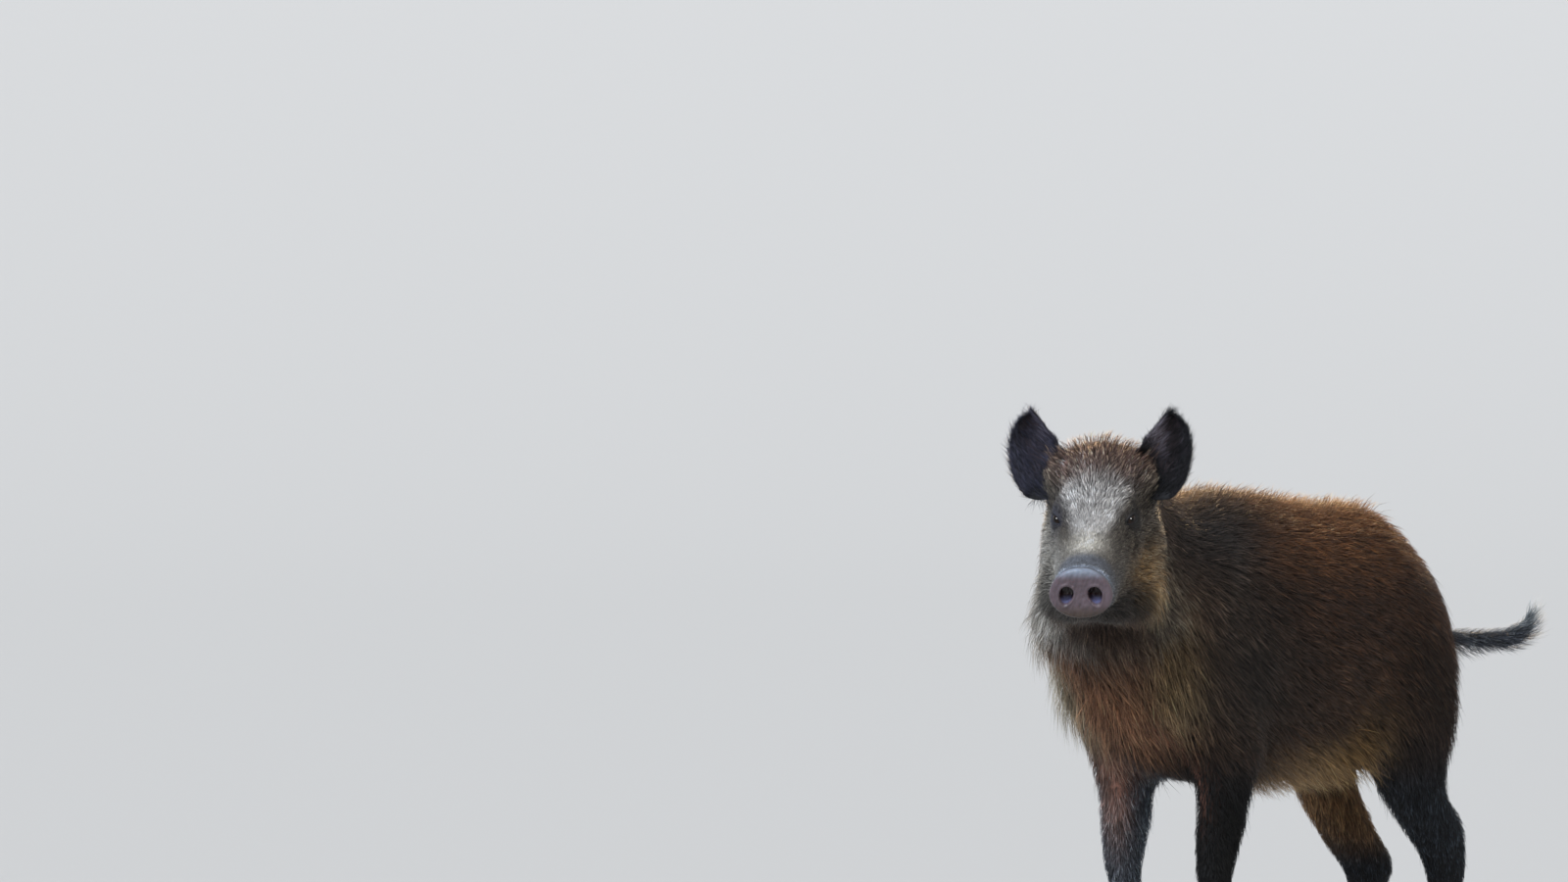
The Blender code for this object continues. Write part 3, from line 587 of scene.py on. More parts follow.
def eye_axes(side):
    """The way an eye looks, its lids' long way and its upward way, as rows; the inner corner sits lower."""
    look = HEAD_AXES @ unit(np.array((side * 0.72, -0.66, 0.20)))
    along = HEAD_AXES @ np.array((0.0, 1.0, 0.20))
    along = unit(along - look * (along @ look))
    up = np.cross(look, along)
    return np.array((look, along, up if up[2] > 0 else -up))


def off_opening(along, up):
    """1 on the edge of the almond between the lids, less inside it, from places on the lids' own sphere."""
    pinch = 1 - 0.25 * np.clip(np.abs(along) / OPENING, 0, 1) ** 2
    return np.sqrt((along / OPENING) ** 2 + (up / (pinch * np.where(up > 0, OPENING_UP, OPENING_DOWN))) ** 2)


def with_lids(points, middle, axes):
    """Skin stretched over an eye: how far it lies from the eye's middle follows its way to the opening."""
    way = points - middle
    far = np.maximum(np.linalg.norm(way, axis=1), 1e-9)
    look, along, up = (way @ axes.T).T * LID_RADIUS / far
    q = off_opening(along, up)
    turned = np.degrees(np.arccos(np.clip(look / LID_RADIUS, -1, 1)))
    upper, lower = rise(up, -0.001, 0.004), rise(up, 0.001, -0.004)
    lid = EYE_RADIUS + LID_THICK * (0.45 + 0.55 * rise(q, 1.0, 1.5)) + 0.6 * MM * upper * rise(q, 1.9, 1.2)
    lid = lid - 1.0 * MM * np.exp(-(((q - 2.1) / 0.25) ** 2)) * upper * rise(turned, 60, 45)  # upper crease
    lid = lid - 0.5 * MM * np.exp(-(((q - 1.8) / 0.25) ** 2)) * lower
    lid = lid + 2.6 * MM * rise(turned, 42, 80)
    inside = rise(q, 1.13, 0.72)
    goal = lid * (1 - inside) + (EYE_RADIUS - 3.0 * MM) * inside
    new = far + rise(turned, 104, 52) * rise(far, 0.030, 0.020) * (goal - far)
    return middle + way * (new / far)[:, None]


EYE_FRAMES = {word: eye_axes(side) for word, side in SIDES.items()}
for word, middle in EYE_MIDDLES.items():
    hide_points = with_lids(hide_points, middle, EYE_FRAMES[word])
    print(word, "eye looks along", (EYE_FRAMES[word][0] @ HEAD_AXES).round(2), "of the head")

h = in_head(hide_points)
turn = np.arctan2(h[:, 2], h[:, 0])
outline = 1 / np.sqrt((np.cos(turn) / FLARE_SIDE) ** 2 + (np.sin(turn) / FLARE_UP) ** 2)
out = np.hypot(h[:, 0], h[:, 2])
flare = rise(h[:, 1], 0.052, 0.020) * rise(out, 0.55 * outline, 0.75 * outline)
h[:, ::2] *= (1 + flare * np.clip(0.95 * outline / np.maximum(out, 1e-6) - 1, 0, 0.4))[:, None]
hide_points = from_head(h)

apart, back = off_mouth(hide_points)
on_head = regions(hide_points)["head"] * rise(back, 0.020, 0.034) * rise(back, 0.160, 0.140)
groove = -2.6 * np.exp(-((apart / (1.7 * MM)) ** 2)) + 1.3 * np.exp(-(((apart - 5.5 * MM) / (3.2 * MM)) ** 2))
h = in_head(hide_points)
wrinkles = rise(h[:, 1], 0.055, 0.028) * rise(h[:, 2], -0.02, 0.0) * np.sin(h[:, 1] / (1.1 * MM))
move = (groove * on_head + 0.35 * wrinkles) * MM
hide_points = hide_points + normals_of(hide_points, hide_faces) * move[:, None]
hide_normals = normals_of(hide_points, hide_faces)
print("mouth sculpted, deepest move", (move.min() / MM).round(1), "mm")

# %% [markdown]
# ## Markings
# A boar's bristles are dark at the root, brown or ochre along their length and often pale at the tip, and
# each region has its own mix. The same layers of named tones, steered by the masks and by soft spots on the
# body, colour both the bristles and the skin beneath them, so a parting in the coat never shows a wrong hue.
# Some layers are painted shade, darker where the body is turned from the light or lies under the head, and
# some are painted light, paler where the sky or the warm rim light falls; the comments on the rows say which.


# %% Colours of the coat, region by region
def markings(points):
    """Hair colour and tip colour at points of the frame, as two arrays of linear red, green, blue."""
    p, (x, y, z), h, (hx, hy, hz), m = places(points)
    head, throat, fore, hind = m["head"], m["throat"], m["fore"], m["hind"]
    rows = [  # weight, then the tones of the hair and of its tip
        (rise(z, 0.50, 0.60) * rise(y, -0.22, -0.10), "664022 a4713e"),  # ochre back
        (rise(y, 0.20, 0.34) * rise(z, 0.30, 0.40), "3c2312 684225"),  # reddish rump
        (rise(y, -0.10, -0.24) * rise(z, 0.30, 0.38), "3f322a 7e6a58"),  # grey-brown shoulder and neck
        (0.7 * rise(z, 0.50, 0.36) * rise(y, -0.34, -0.26), "38281e 6c543e"),  # lower flank darker: painted shade
    ]
    ham = 0.5 * spot(p, (0.125, 0.235, 0.385), (0.060, 0.090, 0.110))
    for side in (1, -1):
        # painted shade: the shoulder spot darkens the shoulders, and the spot behind the ears is their
        # painted shadow on the neck
        shoulder = spot(p, (side * 0.11, -0.19, 0.42), (0.08, 0.12, 0.10))
        behind_ear = spot(p, (side * 0.075, -0.23, 0.60), (0.055, 0.12, 0.055))
        rows += [(0.85 * shoulder, "2a2522 5a4f46"), (0.9 * behind_ear, "282424 5a524c")]
        rows.append((ham, "221812 382a20"))
    rows.append((m["belly"] * (0.35 + 0.65 * rise(y, -0.10, 0.02)), "8a6e48 c2a474"))
    for side in (1, -1):
        rows.append((spot(p, (side * 0.075, 0.10, 0.29), (0.05, 0.06, 0.055)), "80643e c09c64"))  # flank fold
    rows += [
        # the crest's golden, pale-tipped bristles: partly their own colour, partly painted rim light
        (m["crest"] ** 2, "8a6a48 e6c89c"),
        (0.65 * spot(p, (0.044, -0.180, 0.634), (0.044, 0.120, 0.046)), "282220 584c42"),  # below the crest, on the left only: painted shade
        (throat * rise(np.abs(x), 0.105, 0.020), "825c44 bc9470"),  # reddish breast
        (throat * rise(x, -0.020, -0.085), "857a64 cfc6b0"),  # pale long hair beside it
        (0.9 * spot(p, (0.086, -0.356, 0.372), (0.030, 0.040, 0.062)), "7e6c4c ccb68c"),
        (0.8 * spot(p, (0.100, -0.365, 0.450), (0.025, 0.040, 0.060)), "745f3e bea272"),
        (0.95 * spot(p, (0.040, -0.455, 0.440), (0.062, 0.060, 0.055)), "30231b 5c4636"),  # below the chin darker: painted shade under the head
    ]
    for leg in (fore, hind):
        rows += [(leg, "17171b 34373e"), (leg * rise(z, 0.30, 0.22), "151920 56626e")]
    on_tail = m["tail"] * rise(y, 0.385, 0.425)
    fan_edge = np.abs(hx) - 0.010 - 0.24 * np.clip(hy - 0.09, 0, 0.15)
    fan = rise(fan_edge, 0.010, -0.006) * rise(hy, 0.10, 0.125) * rise(hy, 0.245, 0.190)
    rows += [
        (fore * rise(x, 0.02, 0.05), "040506 0c0e12"),  # the left foreleg is nearly black: partly its own black, partly painted shade
        (hind * rise(x, 0.0, -0.03) * rise(z, 0.13, 0.20), "78593c a88a60"),  # brown right thigh: partly its own ochre fringes, partly painted warm rim light
        (fore * rise(x, 0.0, -0.03) * rise(y, -0.16, -0.20), "3e4650 a4b4c2"),  # right leg's front pale blue: painted highlight of the sky
        (0.9 * spot(p, (-0.065, -0.262, 0.250), (0.035, 0.03, 0.075)), "b88a74 e8c4ae"),
        (on_tail, "2c3038 8a929a"),
        # the tail's top paler: painted rim light
        (on_tail * rise(z, 0.436, 0.446), "5c6468 b4bcc2"),
        (head, "4a433c aaa290"),
        (head * rise(hx, 0.0, -0.03) * rise(hz, 0.04, 0.0), "aaa69e ffffff"),  # paler right cheek: painted sky light on the lit side
        (head * rise(hz, 0.05, 0.09) * rise(hy, 0.19, 0.23), "5a4640 f0d0b6"),  # forehead
        (0.75 * head * rise(hy, 0.255, 0.29) * rise(hz, 0.07, 0.10), "5e4632 e8b888"),  # crown
        (head * fan, "cac6c2 ffffff"),  # pale fan over the brow
        (head * spot(h, (0, 0.092, 0.045), (0.024, 0.027, 0.03)), "e2dccf fffaf0"),  # bridge of the nose
        (0.95 * head * rise(hy, 0.076, 0.054), "666a72 969eaa"),  # muzzle
        (head * rise(hy, 0.036, 0.024) * rise(hz, 0.0, 0.02), "8a92a0 c4ccd8"),  # pale blue-grey hairs on top against the disc: painted sky light
    ]
    for side in (1, -1):
        cheek = "a8865a f0d6a6" if side > 0 else "8a867e ece8de"  # golden on the left, and grey-white on the right as painted sky light
        # lids: darker on the left as painted shade, bluish grey on the right as painted sky light
        lids = "08080c 16181f" if side > 0 else "363b4c 767e92"
        for share, (at_x, at_y, at_z), radii, tones in (
            (0.85, (0.064, 0.205, 0.005), (0.024, 0.05, 0.035), "34302c 7b7466"),  # behind the eye
            (0.95, (0.072, 0.200, -0.048), (0.034, 0.072, 0.038), cheek),
            (0.9, (0.074, 0.186, -0.026), (0.026, 0.052, 0.024), cheek),
            (0.95, (0.060, 0.146, -0.063), (0.040, 0.056, 0.034), "040302 0c0a09"),  # behind the mouth, near black: painted shadow at the mouth's corner
            (0.9, (0.050, 0.060, -0.008), (0.018, 0.038, 0.024), "606268 a2a4aa"),
            (0.95, (0.060, 0.182, 0.043), (0.024, 0.032, 0.020), lids),
        ):
            rows.append((share * head * spot(h, (side * at_x, at_y, at_z), radii), tones))
    under = rise(hz, -0.056, -0.074) * rise(hy, 0.11, 0.15) * rise(np.abs(hx), 0.066, 0.040)
    rows += [
        (0.9 * head * rise(hz, -0.030, -0.044) * rise(hy, 0.16, 0.12), "241e1a 4e463c"),  # dark chin: painted shadow below the disc
        (0.95 * head * under, "38281e 66503c"),  # below the jaw darker: painted shade under the head
    ]
    value = painted("3f2818 755034", *rows)
    value = np.clip(value * (1 + 0.16 * noise(points, 0.09, 3)[:, None]), 0, 1)
    return value[:, :3], value[:, 3:]


hair_colour, tip_colour = markings(hide_points)
print("markings: mean hair colour", hair_colour.mean(axis=0).round(3))

# %% [markdown]
# ## The lie of the coat
# Bristles lie backwards along the trunk, fall down the shoulders, hams and legs, and fan up and out over the
# forehead from the bridge of the nose. A few vectors laid over each other with the masks give that, then the
# field is flattened onto the skin and smoothed, so that locks turn gradually where two streams meet.


# %% A field of directions along the skin
def lie_of_coat(points):
    """The way the coat lies at points of the frame, before it is flattened onto the skin."""
    p, (x, y, z), h, (hx, hy, hz), m = places(points)
    out, out_of_face = np.sign(x), np.sign(hx)
    face = [
        (1.0, (3.2 * hx, 1, 0.1)),
        (rise(hz, 0.02, 0.05) * rise(hy, 0.10, 0.16), (26.0 * hx, 0.8, 1.0)),
        (rise(np.abs(hx), 0.03, 0.055) * rise(hz, 0.03, 0.0), (0.2 * out_of_face, 1, -0.45)),
        (rise(hz, -0.035, -0.065), (0.2 * out_of_face, 0.6, -1.0)),
        (rise(hz, -0.03, -0.05) * rise(hy, 0.12, 0.08), (0, 1, -0.25)),
    ]
    for side in (1, -1):
        eye = np.array((side * 0.054, 0.176, 0.043))
        face.append((0.75 * spot(h, eye, (0.020, 0.022, 0.018)), (unit(h - eye) + (0, 0.55, 0)).T))
    ways = [(rise(z, 0.50, 0.60), (0, 1, -0.12))]
    for side in (1, -1):
        ways.append((spot(p, (side * 0.10, -0.22, 0.42), (0.09, 0.10, 0.11)), (0, 0.72, -0.75)))
    ways += [
        (rise(y, -0.26, -0.36) * (1 - m["throat"]), (0.10 * out, 0.85, -0.6)),
        (m["throat"], (0.30 * out, 0.25, -1)),
        (rise(y, 0.10, 0.22) * rise(z, 0.54, 0.42), (0, 0.6, -0.85)),
        (rise(y, 0.28, 0.36), (0, 0.3, -1)),
        (m["belly"], (0, 1, -0.5)),
        (m["fore"], (0.04 * out, 0.22, -1)),
        (m["hind"], (0.04 * out, 0.22, -1)),
        (m["tail"], unit(np.gradient(TAIL_LINE, axis=0))[distances(p, TAIL_LINE).argmin(axis=1)].T),
        (m["head"], (blended((0.0, 1.0, 0.0), face) @ HEAD_AXES.T).T),
    ]
    return blended((0.0, 1.0, -0.42), ways)


def blended(start, ways):
    """Directions laid over a first one: each is made a unit vector before it is laid."""
    return layered(start, [(weight, unit(together(*way))) for weight, way in ways])


def flattened(ways, normals):
    """Unit vectors along the surface: each way less its part along the normal."""
    return unit(ways - normals * (ways * normals).sum(axis=1, keepdims=True))


lie = flattened(lie_of_coat(hide_points), hide_normals)
for _ in range(4):
    lie = flattened(smoothed(lie, hide_edges, 3), hide_normals)
print("lie of the coat found at", len(lie), "points")

# %% [markdown]
# ## The hide
# Bare of its bristles a boar's hide is leathery and dark, pinkish only where the coat is thin: inside the
# arms and on the breast. Its colour comes from the same markings, darkened as painted shade under the coat,
# and a fine bump of pores and stubble keeps the partings of the coat from looking smooth.

# %% Hide material
hide, tree, shader = new_material("Leathery hide under underwool", Roughness=0.78, IOR=1.45)
hair = add(tree, "Attribute", attribute_name="hair").outputs["Color"]
bare = add(tree, "Attribute", attribute_name="bare").outputs["Fac"]
# painted shade: the markings darkened two thirds of the way to near black, for the coat's depth
dark = add(tree, "Mix", {"Factor": 0.66, "A": hair, "B": opaque("0b0908")}, data_type="RGBA")
thin = {"Factor": bare, "A": dark.outputs["Result"], "B": opaque("a0705f")}
flesh = add(tree, "Mix", thin, data_type="RGBA")
living_skin(tree, shader, flesh.outputs["Result"], 5 * MM, 4.0, 0.7, 1.2, 1.6 * MM, 0.5)
print(hide.name, "has", len(tree.nodes), "nodes")

# %% The skin as a piece
hide_own, (x, y, z), _, (hx, hy, hz), region = places(hide_points)
lids = np.zeros(len(hide_points))
for word, middle in EYE_MIDDLES.items():
    way = hide_points - middle
    look, along, up = (unit(way) @ EYE_FRAMES[word].T).T * LID_RADIUS
    on_lid = rise(off_opening(along, up), 1.8, 1.2) * (look > 0) * rise((way**2).sum(axis=1), 6e-4, 4e-4)
    lids = np.maximum(lids, on_lid)
thin_coat = both_sides(hide_own, (0.040, -0.318, 0.312), (0.030, 0.05, 0.055))
thin_coat += 0.8 * both_sides(hide_own, (0.066, -0.255, 0.262), (0.020, 0.05, 0.045))
thin_coat += 0.6 * both_sides(hide_own, (0.062, -0.395, 0.412), (0.025, 0.05, 0.025))
thin_coat = np.clip(thin_coat, 0, 1)
measures = coat_measures(hide_points)
mouth_apart, mouth_back = off_mouth(hide_points)
lips = rise(mouth_apart, 6 * MM, 3 * MM) * rise(mouth_back, 0.016, 0.024) * rise(mouth_back, 0.160, 0.150)
# the lids' skin: dark on the left as painted shade, bluish grey on the right as painted sky light
lid_tone = np.where(hx[:, None] > 0, linear("1e1e25"), linear("3a3e4e"))
short_haired = 1 + 0.9 * rise(measures[:, 1], 17, 12) * rise(z, 0.30, 0.40)
skin_rows = [(lips * region["head"], linear("1c1614")), (lids, lid_tone)]
skin = piece("skin", hide_points, hide_faces, hide, "coat", *FLESH)
mark(skin, "hair", layered(hair_colour * short_haired[:, None], skin_rows))
mark(skin, "bare", 0.9 * thin_coat)

# %% [markdown]
# ## Closed surfaces from rings
# Eyes, ears, the snout disc and the hooves are all a row of rings, each a closed line of points, with the two
# ends drawn together to a middle point. One function joins the rings, closes the ends and turns the faces
# outwards by the sign of the volume they enclose, so nothing is left open or inside out.


# %% Rings to a closed surface
def tube(rings):
    """Points and triangles of a closed surface through rings of points, with a middle point at each end."""
    rows, columns, _ = rings.shape
    quads = grid_faces(rows, columns)
    ring = np.arange(columns)
    after = (ring + 1) % columns
    last = (rows - 1) * columns
    low = np.stack([np.full(columns, rows * columns), after, ring], -1)
    high = np.stack([np.full(columns, rows * columns + 1), last + ring, last + after], -1)
    points = np.concatenate([rings.reshape(-1, 3), rings[:1].mean(axis=1), rings[-1:].mean(axis=1)])
    faces = np.concatenate([quads[:, [0, 1, 2]], quads[:, [0, 2, 3]], low, high])
    a, b, c = (points[faces[:, k]] for k in range(3))
    return points, faces if (a * np.cross(b, c)).sum() > 0 else faces[:, ::-1]


print("a ring of 72 points steps by", np.degrees(around(72)[1]).round(1), "degrees")

# %% [markdown]
# ## Eyes
# A boar's eye is small, dark brown and always wet. The ball is a sphere that swells a little into a cornea
# where it looks out; the pupil is a wide oval, painted by angle from the way it looks. A sharp point of
# light makes an eye look alive, so each eye has its own catch light, which stands where the cornea mirrors
# it to the camera and which lights nothing but the eyes.

# %% Eyeballs
wet_eye, tree, shader = new_material(
    "Wet cornea over dark iris", Roughness=0.06, IOR=1.376, Specular_IOR_Level=0.3
)
iris = add(tree, "Attribute", attribute_name="iris")
tree.links.new(iris.outputs["Color"], shader.inputs["Base Color"])
shining = bpy.data.collections.new("lit_by_catch_lights")


def eyeball(word, rows=40, columns=56):
    """Rings round the way the eye looks; the radius swells by 5% where the angle from it is small."""
    middle, axes = EYE_MIDDLES[word], EYE_FRAMES[word]
    look, along, up = axes
    angle = np.linspace(0.03, math.pi - 0.03, rows)[:, None, None]
    turn = around(columns)[None, :, None]
    radius = EYE_RADIUS * (0.985 + 0.05 * np.exp(-((angle / 0.5) ** 2)))
    way = look * np.cos(angle) + (along * np.cos(turn) + up * np.sin(turn)) * np.sin(angle)
    points, faces = tube(middle + radius * way)
    made = piece("eyeball_" + word, points, faces, wet_eye, "eye_gloss", "eye_" + word)
    long_off, up_off = (unit(points - middle) @ axes.T)[:, 1:].T
    pupil = rise(np.sqrt((long_off / 0.34) ** 2 + (up_off / 0.24) ** 2), 1.1, 0.85)
    ring = rise(np.sqrt(long_off**2 + up_off**2), 0.66, 0.56)
    mark(made, "iris", painted("080605", (ring, "170d08"), (pupil, "060505")))
    shining.objects.link(made)
    leave_out(sky_lamp, made)


for word in SIDES:
    look, along, up = EYE_FRAMES[word]
    view = unit(np.array(camera.location) - EYE_MIDDLES[word])
    normal = unit(look + 0.5 * view + 0.28 * up)
    way = 2 * (normal @ view) * normal - view
    turn, climb = math.degrees(math.atan2(way[0], -way[1])), math.degrees(math.asin(way[2]))
    catch_light = lamp("catch_light_" + word, turn, climb, 15, 4.5, "ffffff")
    catch_light.light_linking.receiver_collection = shining
    print(catch_light.name, "stands at", round(turn), "degrees,", round(climb), "degrees up")
    eyeball(word)

# %% [markdown]
# ## The snout disc
# The disc is gristle under bare, moist skin, and the boar digs with it. It is a row of superellipse rings
# from the middle of its face, over the rim and back onto the muzzle. The nostrils are wells whose depth falls
# off with an oval distance, with raised lips; creases come as small moves of the surface, and pores as bump.

# %% Snout
DISC_UP, DISC_DOWN, DISC_SIDE = 33.0 * MM, 32.2 * MM, 40.6 * MM
DISC_POWER = 2.25
DISC_PROFILE = [  # share of the outline's radius, mm behind the front
    (0.010, 1.6),
    (0.200, 1.5),
    (0.450, 0.9),
    (0.700, 0.1),
    (0.860, -0.1),
    (0.945, 0.6),
    (0.988, 2.8),
    (1.000, 5.5),
    (0.992, 8.0),
    (0.972, 10.5),
    (0.962, 13.5),
    (0.945, 17.0),
    (0.900, 21.0),
    (0.500, 25.0),
    (0.020, 25.5),
]
RIM_STARTS, FACE_RINGS, RIM_RINGS = 5, 84, 46  # the profile's row at the rim, rings before it and after
NOSTRIL_SIDE, NOSTRIL_UP = 18.8 * MM, -2.6 * MM
NOSTRIL_WIDE, NOSTRIL_TALL = 9.0 * MM, 12.8 * MM
NOSTRIL_LEAN = math.radians(15)


def smooth_row(row, rounds=3):
    """A row of numbers with each inner one moved towards its neighbours' mean."""
    for _ in range(rounds):
        row = np.concatenate([row[:1], 0.25 * row[:-2] + 0.5 * row[1:-1] + 0.25 * row[2:], row[-1:]])
    return row


def snout_disc(columns=220):
    """Superellipse rings along the profile, then moves along the head's axes for wells, rims and creases."""
    last = len(DISC_PROFILE) - 1
    on_face = np.linspace(0, RIM_STARTS, FACE_RINGS, endpoint=False)
    steps = np.concatenate([on_face, np.linspace(RIM_STARTS, last, RIM_RINGS)])
    share, back = (smooth_row(np.interp(steps, np.arange(last + 1), row)) for row in zip(*DISC_PROFILE))
    cosine, sine = np.cos(around(columns)), np.sin(around(columns))
    across = DISC_SIDE * np.sign(cosine) * np.abs(cosine) ** (2 / DISC_POWER)
    tall = np.where(sine > 0, DISC_UP, DISC_DOWN) * np.sign(sine) * np.abs(sine) ** (2 / DISC_POWER)
    narrow = 1 - 0.16 * np.clip(sine, 0, 1) - 0.08 * np.clip(-sine, 0, 1) ** 2
    hx, hz = share[:, None] * across * narrow, share[:, None] * tall
    hy = np.repeat(back[:, None] * MM, columns, axis=1)
    well, lip = np.zeros_like(hx), np.zeros_like(hx)
    for side in (1, -1):
        dx, dz = side * hx - NOSTRIL_SIDE, hz - NOSTRIL_UP
        a = dx * math.cos(NOSTRIL_LEAN) + dz * math.sin(NOSTRIL_LEAN)
        b = -dx * math.sin(NOSTRIL_LEAN) + dz * math.cos(NOSTRIL_LEAN)
        wide = NOSTRIL_WIDE * (1 + 0.22 * np.clip(b / NOSTRIL_TALL, -1, 1))
        q = np.sqrt((a / wide) ** 2 + (b / NOSTRIL_TALL) ** 2)
        low = rise(b, 0.2 * NOSTRIL_TALL, -NOSTRIL_TALL)
        well += (17 - 9 * low) * rise(q, 1.02, 0.76 - 0.34 * low)
        lip += np.exp(-(((q - 1.16) / 0.16) ** 2))
    groove = np.exp(-((hx / (2.2 * MM)) ** 2)) * rise(hz, 0.004, -0.012)
    creases = noise(together(hx, hy, 0.6 * hz).reshape(-1, 3), 0.0050, 21).reshape(hx.shape)
    front = rise(hy, 8 * MM, 3 * MM)
    hy = hy + MM * front * (well - 1.1 * lip + 0.9 * groove + 0.34 * creases)
    points, faces = tube(from_head(together(hx, hy, hz)))
    return points, faces, np.append(well > 2.0, (False, False)).astype(float)


disc_skin, tree, shader = new_material(
    "Moist bare snout skin",
    Roughness=0.42,
    IOR=1.42,
    Coat_Weight=0.18,
    Coat_Roughness=0.22,
    Subsurface_Weight=0.08,
    Subsurface_Scale=4 * MM,
)
tone = add(tree, "Attribute", attribute_name="tone").outputs["Color"]
living_skin(tree, shader, tone, 9 * MM, 5.0, 0.78, 1.18, 1.5 * MM, 0.35)

points, faces, nostril_well = snout_disc()
snout = piece("snout_disc", points, faces, disc_skin, "snout_skin", "snout")
back, up = in_head(points)[:, 1:].T
disc_tones = painted(
    "594c53",
    (rise(up, 0.018, 0.031), "7a8290"),  # upper rim paler and bluer: painted sky light
    # painted shade: darker towards the bottom of the disc
    (rise(up, -0.010, -0.028), "41352f"),
    # painted shade: darker on the rim behind the front
    (rise(back, 0.006, 0.014), "42424a"),
    (nostril_well * rise(back, 0.001, 0.007), "2a1a1c"),  # inside the nostrils darker: painted shade in the wells
    # painted highlight: paler blue on the lower floor of the wells
    (nostril_well * rise(back, 0.001, 0.006) * rise(up, -0.004, -0.011), "6a6c90"),
)
mark(snout, "tone", disc_tones)
leave_out(sun_lamp, snout)

# %% [markdown]
# ## Ears
# Each ear is a thin leaf of gristle, cupped forwards and standing on a slanting base. Its middle line runs
# from base to tip with a slight bulge. Its outer side stays wide nearly to the top while its inner side
# slants, as two powers of 1 - v^n, and its depth is greatest in the middle. It is made on the animal's left
# and mirrored, and its root runs on into the skull.

# %% Ear leaves
EAR_BASE, EAR_TIP = np.array((0.0740, 0.270, 0.0780)), np.array((0.0880, 0.300, 0.1480))
EAR_BASE_HALF, EAR_TOP_HALF = np.array((0.0240, -0.010, -0.0330)), np.array((0.0325, 0.0, -0.0050))
EAR_BULGE, EAR_ROOT_WAY = np.array((0.0085, 0.0, 0.0)), np.array((-0.110, 0.030, 0.0))
EAR_CUP, EAR_THICK, EAR_ARC = 21 * MM, 3.0 * MM, math.radians(78)
EAR_CUP_WAY = np.array((-0.25, 0.95, 0.15))


def ear_leaf(side, rows=60, columns=31):
    """Rings of a cupped leaf: u runs across its front and back again behind, v from the root to the tip."""
    s = np.linspace(0, 1, rows)[:, None, None]
    v = -0.25 + 1.242 * (s + 0.9 * s * (1 - s) * (s - 0.35))
    u = np.linspace(-1, 1, columns)[None, :, None]
    grown, rooted = np.clip(v, 0, 1), np.clip(-v, 0, 1)
    middle = EAR_BASE + v * (EAR_TIP - EAR_BASE) + 4 * grown * (1 - grown) * EAR_BULGE + rooted * EAR_ROOT_WAY
    inner_side, outer_side = (1 - grown**1.8) ** 0.75, (1 - grown**3.2) ** 0.52
    slim = inner_side + rise(u, -0.5, 0.7) * (outer_side - inner_side)
    narrow = slim * np.sqrt(1 - np.clip(rooted / 0.255, 0, 1) ** 2) * (0.90 + 0.10 * rise(v, -0.02, 0.22))
    half = (EAR_BASE_HALF + grown * (EAR_TOP_HALF - EAR_BASE_HALF)) * narrow
    arc = (np.cos(u * EAR_ARC) - math.cos(EAR_ARC)) / (1 - math.cos(EAR_ARC))
    leaf = middle + half * np.sin(u * EAR_ARC) / math.sin(EAR_ARC) + EAR_CUP_WAY * EAR_CUP * narrow**0.7 * arc
    normal = unit(np.cross(np.gradient(leaf, axis=1), np.gradient(leaf, axis=0)))
    thin = EAR_THICK * (1 - 0.75 * np.abs(u) ** 4) * (1 - 0.35 * grown)
    ridges = 0.7 * MM * np.sin(9 * u + 2 * v) * rise(v, -0.1, 0.2) * rise(np.abs(u), 0.9, 0.5)
    front, back = leaf + (0.5 * thin + ridges) * normal, leaf - 0.5 * thin * normal
    rings = np.concatenate([front, back[:, ::-1]], axis=1)
    rings[:, :, 0] *= side
    across = np.tile(np.concatenate([u[0, :, 0], u[0, ::-1, 0]]), rows)
    inner = np.tile(np.repeat((1.0, 0.0), columns), rows)
    columns_of_points = (across, inner, np.repeat(v[:, 0, 0], 2 * columns))
    return from_head(rings), *(np.append(column, column[-2:]) for column in columns_of_points)


ear_skin, tree, shader = new_material("Thin ear skin", Roughness=0.8, IOR=1.45)
hair = add(tree, "Attribute", attribute_name="hair").outputs["Color"]
living_skin(tree, shader, hair, 6 * MM, 3.0, 0.75, 1.15)

EARS = {}
for word, side in SIDES.items():
    rings, across, inner, up = ear_leaf(side)
    points, faces = tube(rings)
    ear = piece("ear_leaf_" + word, points, faces, ear_skin, "ear_coat", "ear_" + word)
    # the ear's inner skin: near black towards the root as painted shade
    inside = painted("2a262c", (rise(np.abs(across), 0.6, 0.2), "3c3034"), (rise(up, 0.10, -0.02), "0c0c10"))
    mark(ear, "hair", np.where(inner[:, None] > 0.5, inside, linear("14151b")))
    EARS[word] = (points, faces, across, inner, up)

# %% [markdown]
# ## Hooves
# A boar walks on two main hooves to a foot, with two small dewclaws hung behind. A hoof is a sloping wall of
# dark horn that grows down in rings, flat beneath where it stands. Each is one outline carried up the wall,
# narrowed at the toe, with growth rings as small swells; layers and fibres of the horn come from two noises,
# one stretched flat and one stretched upright.

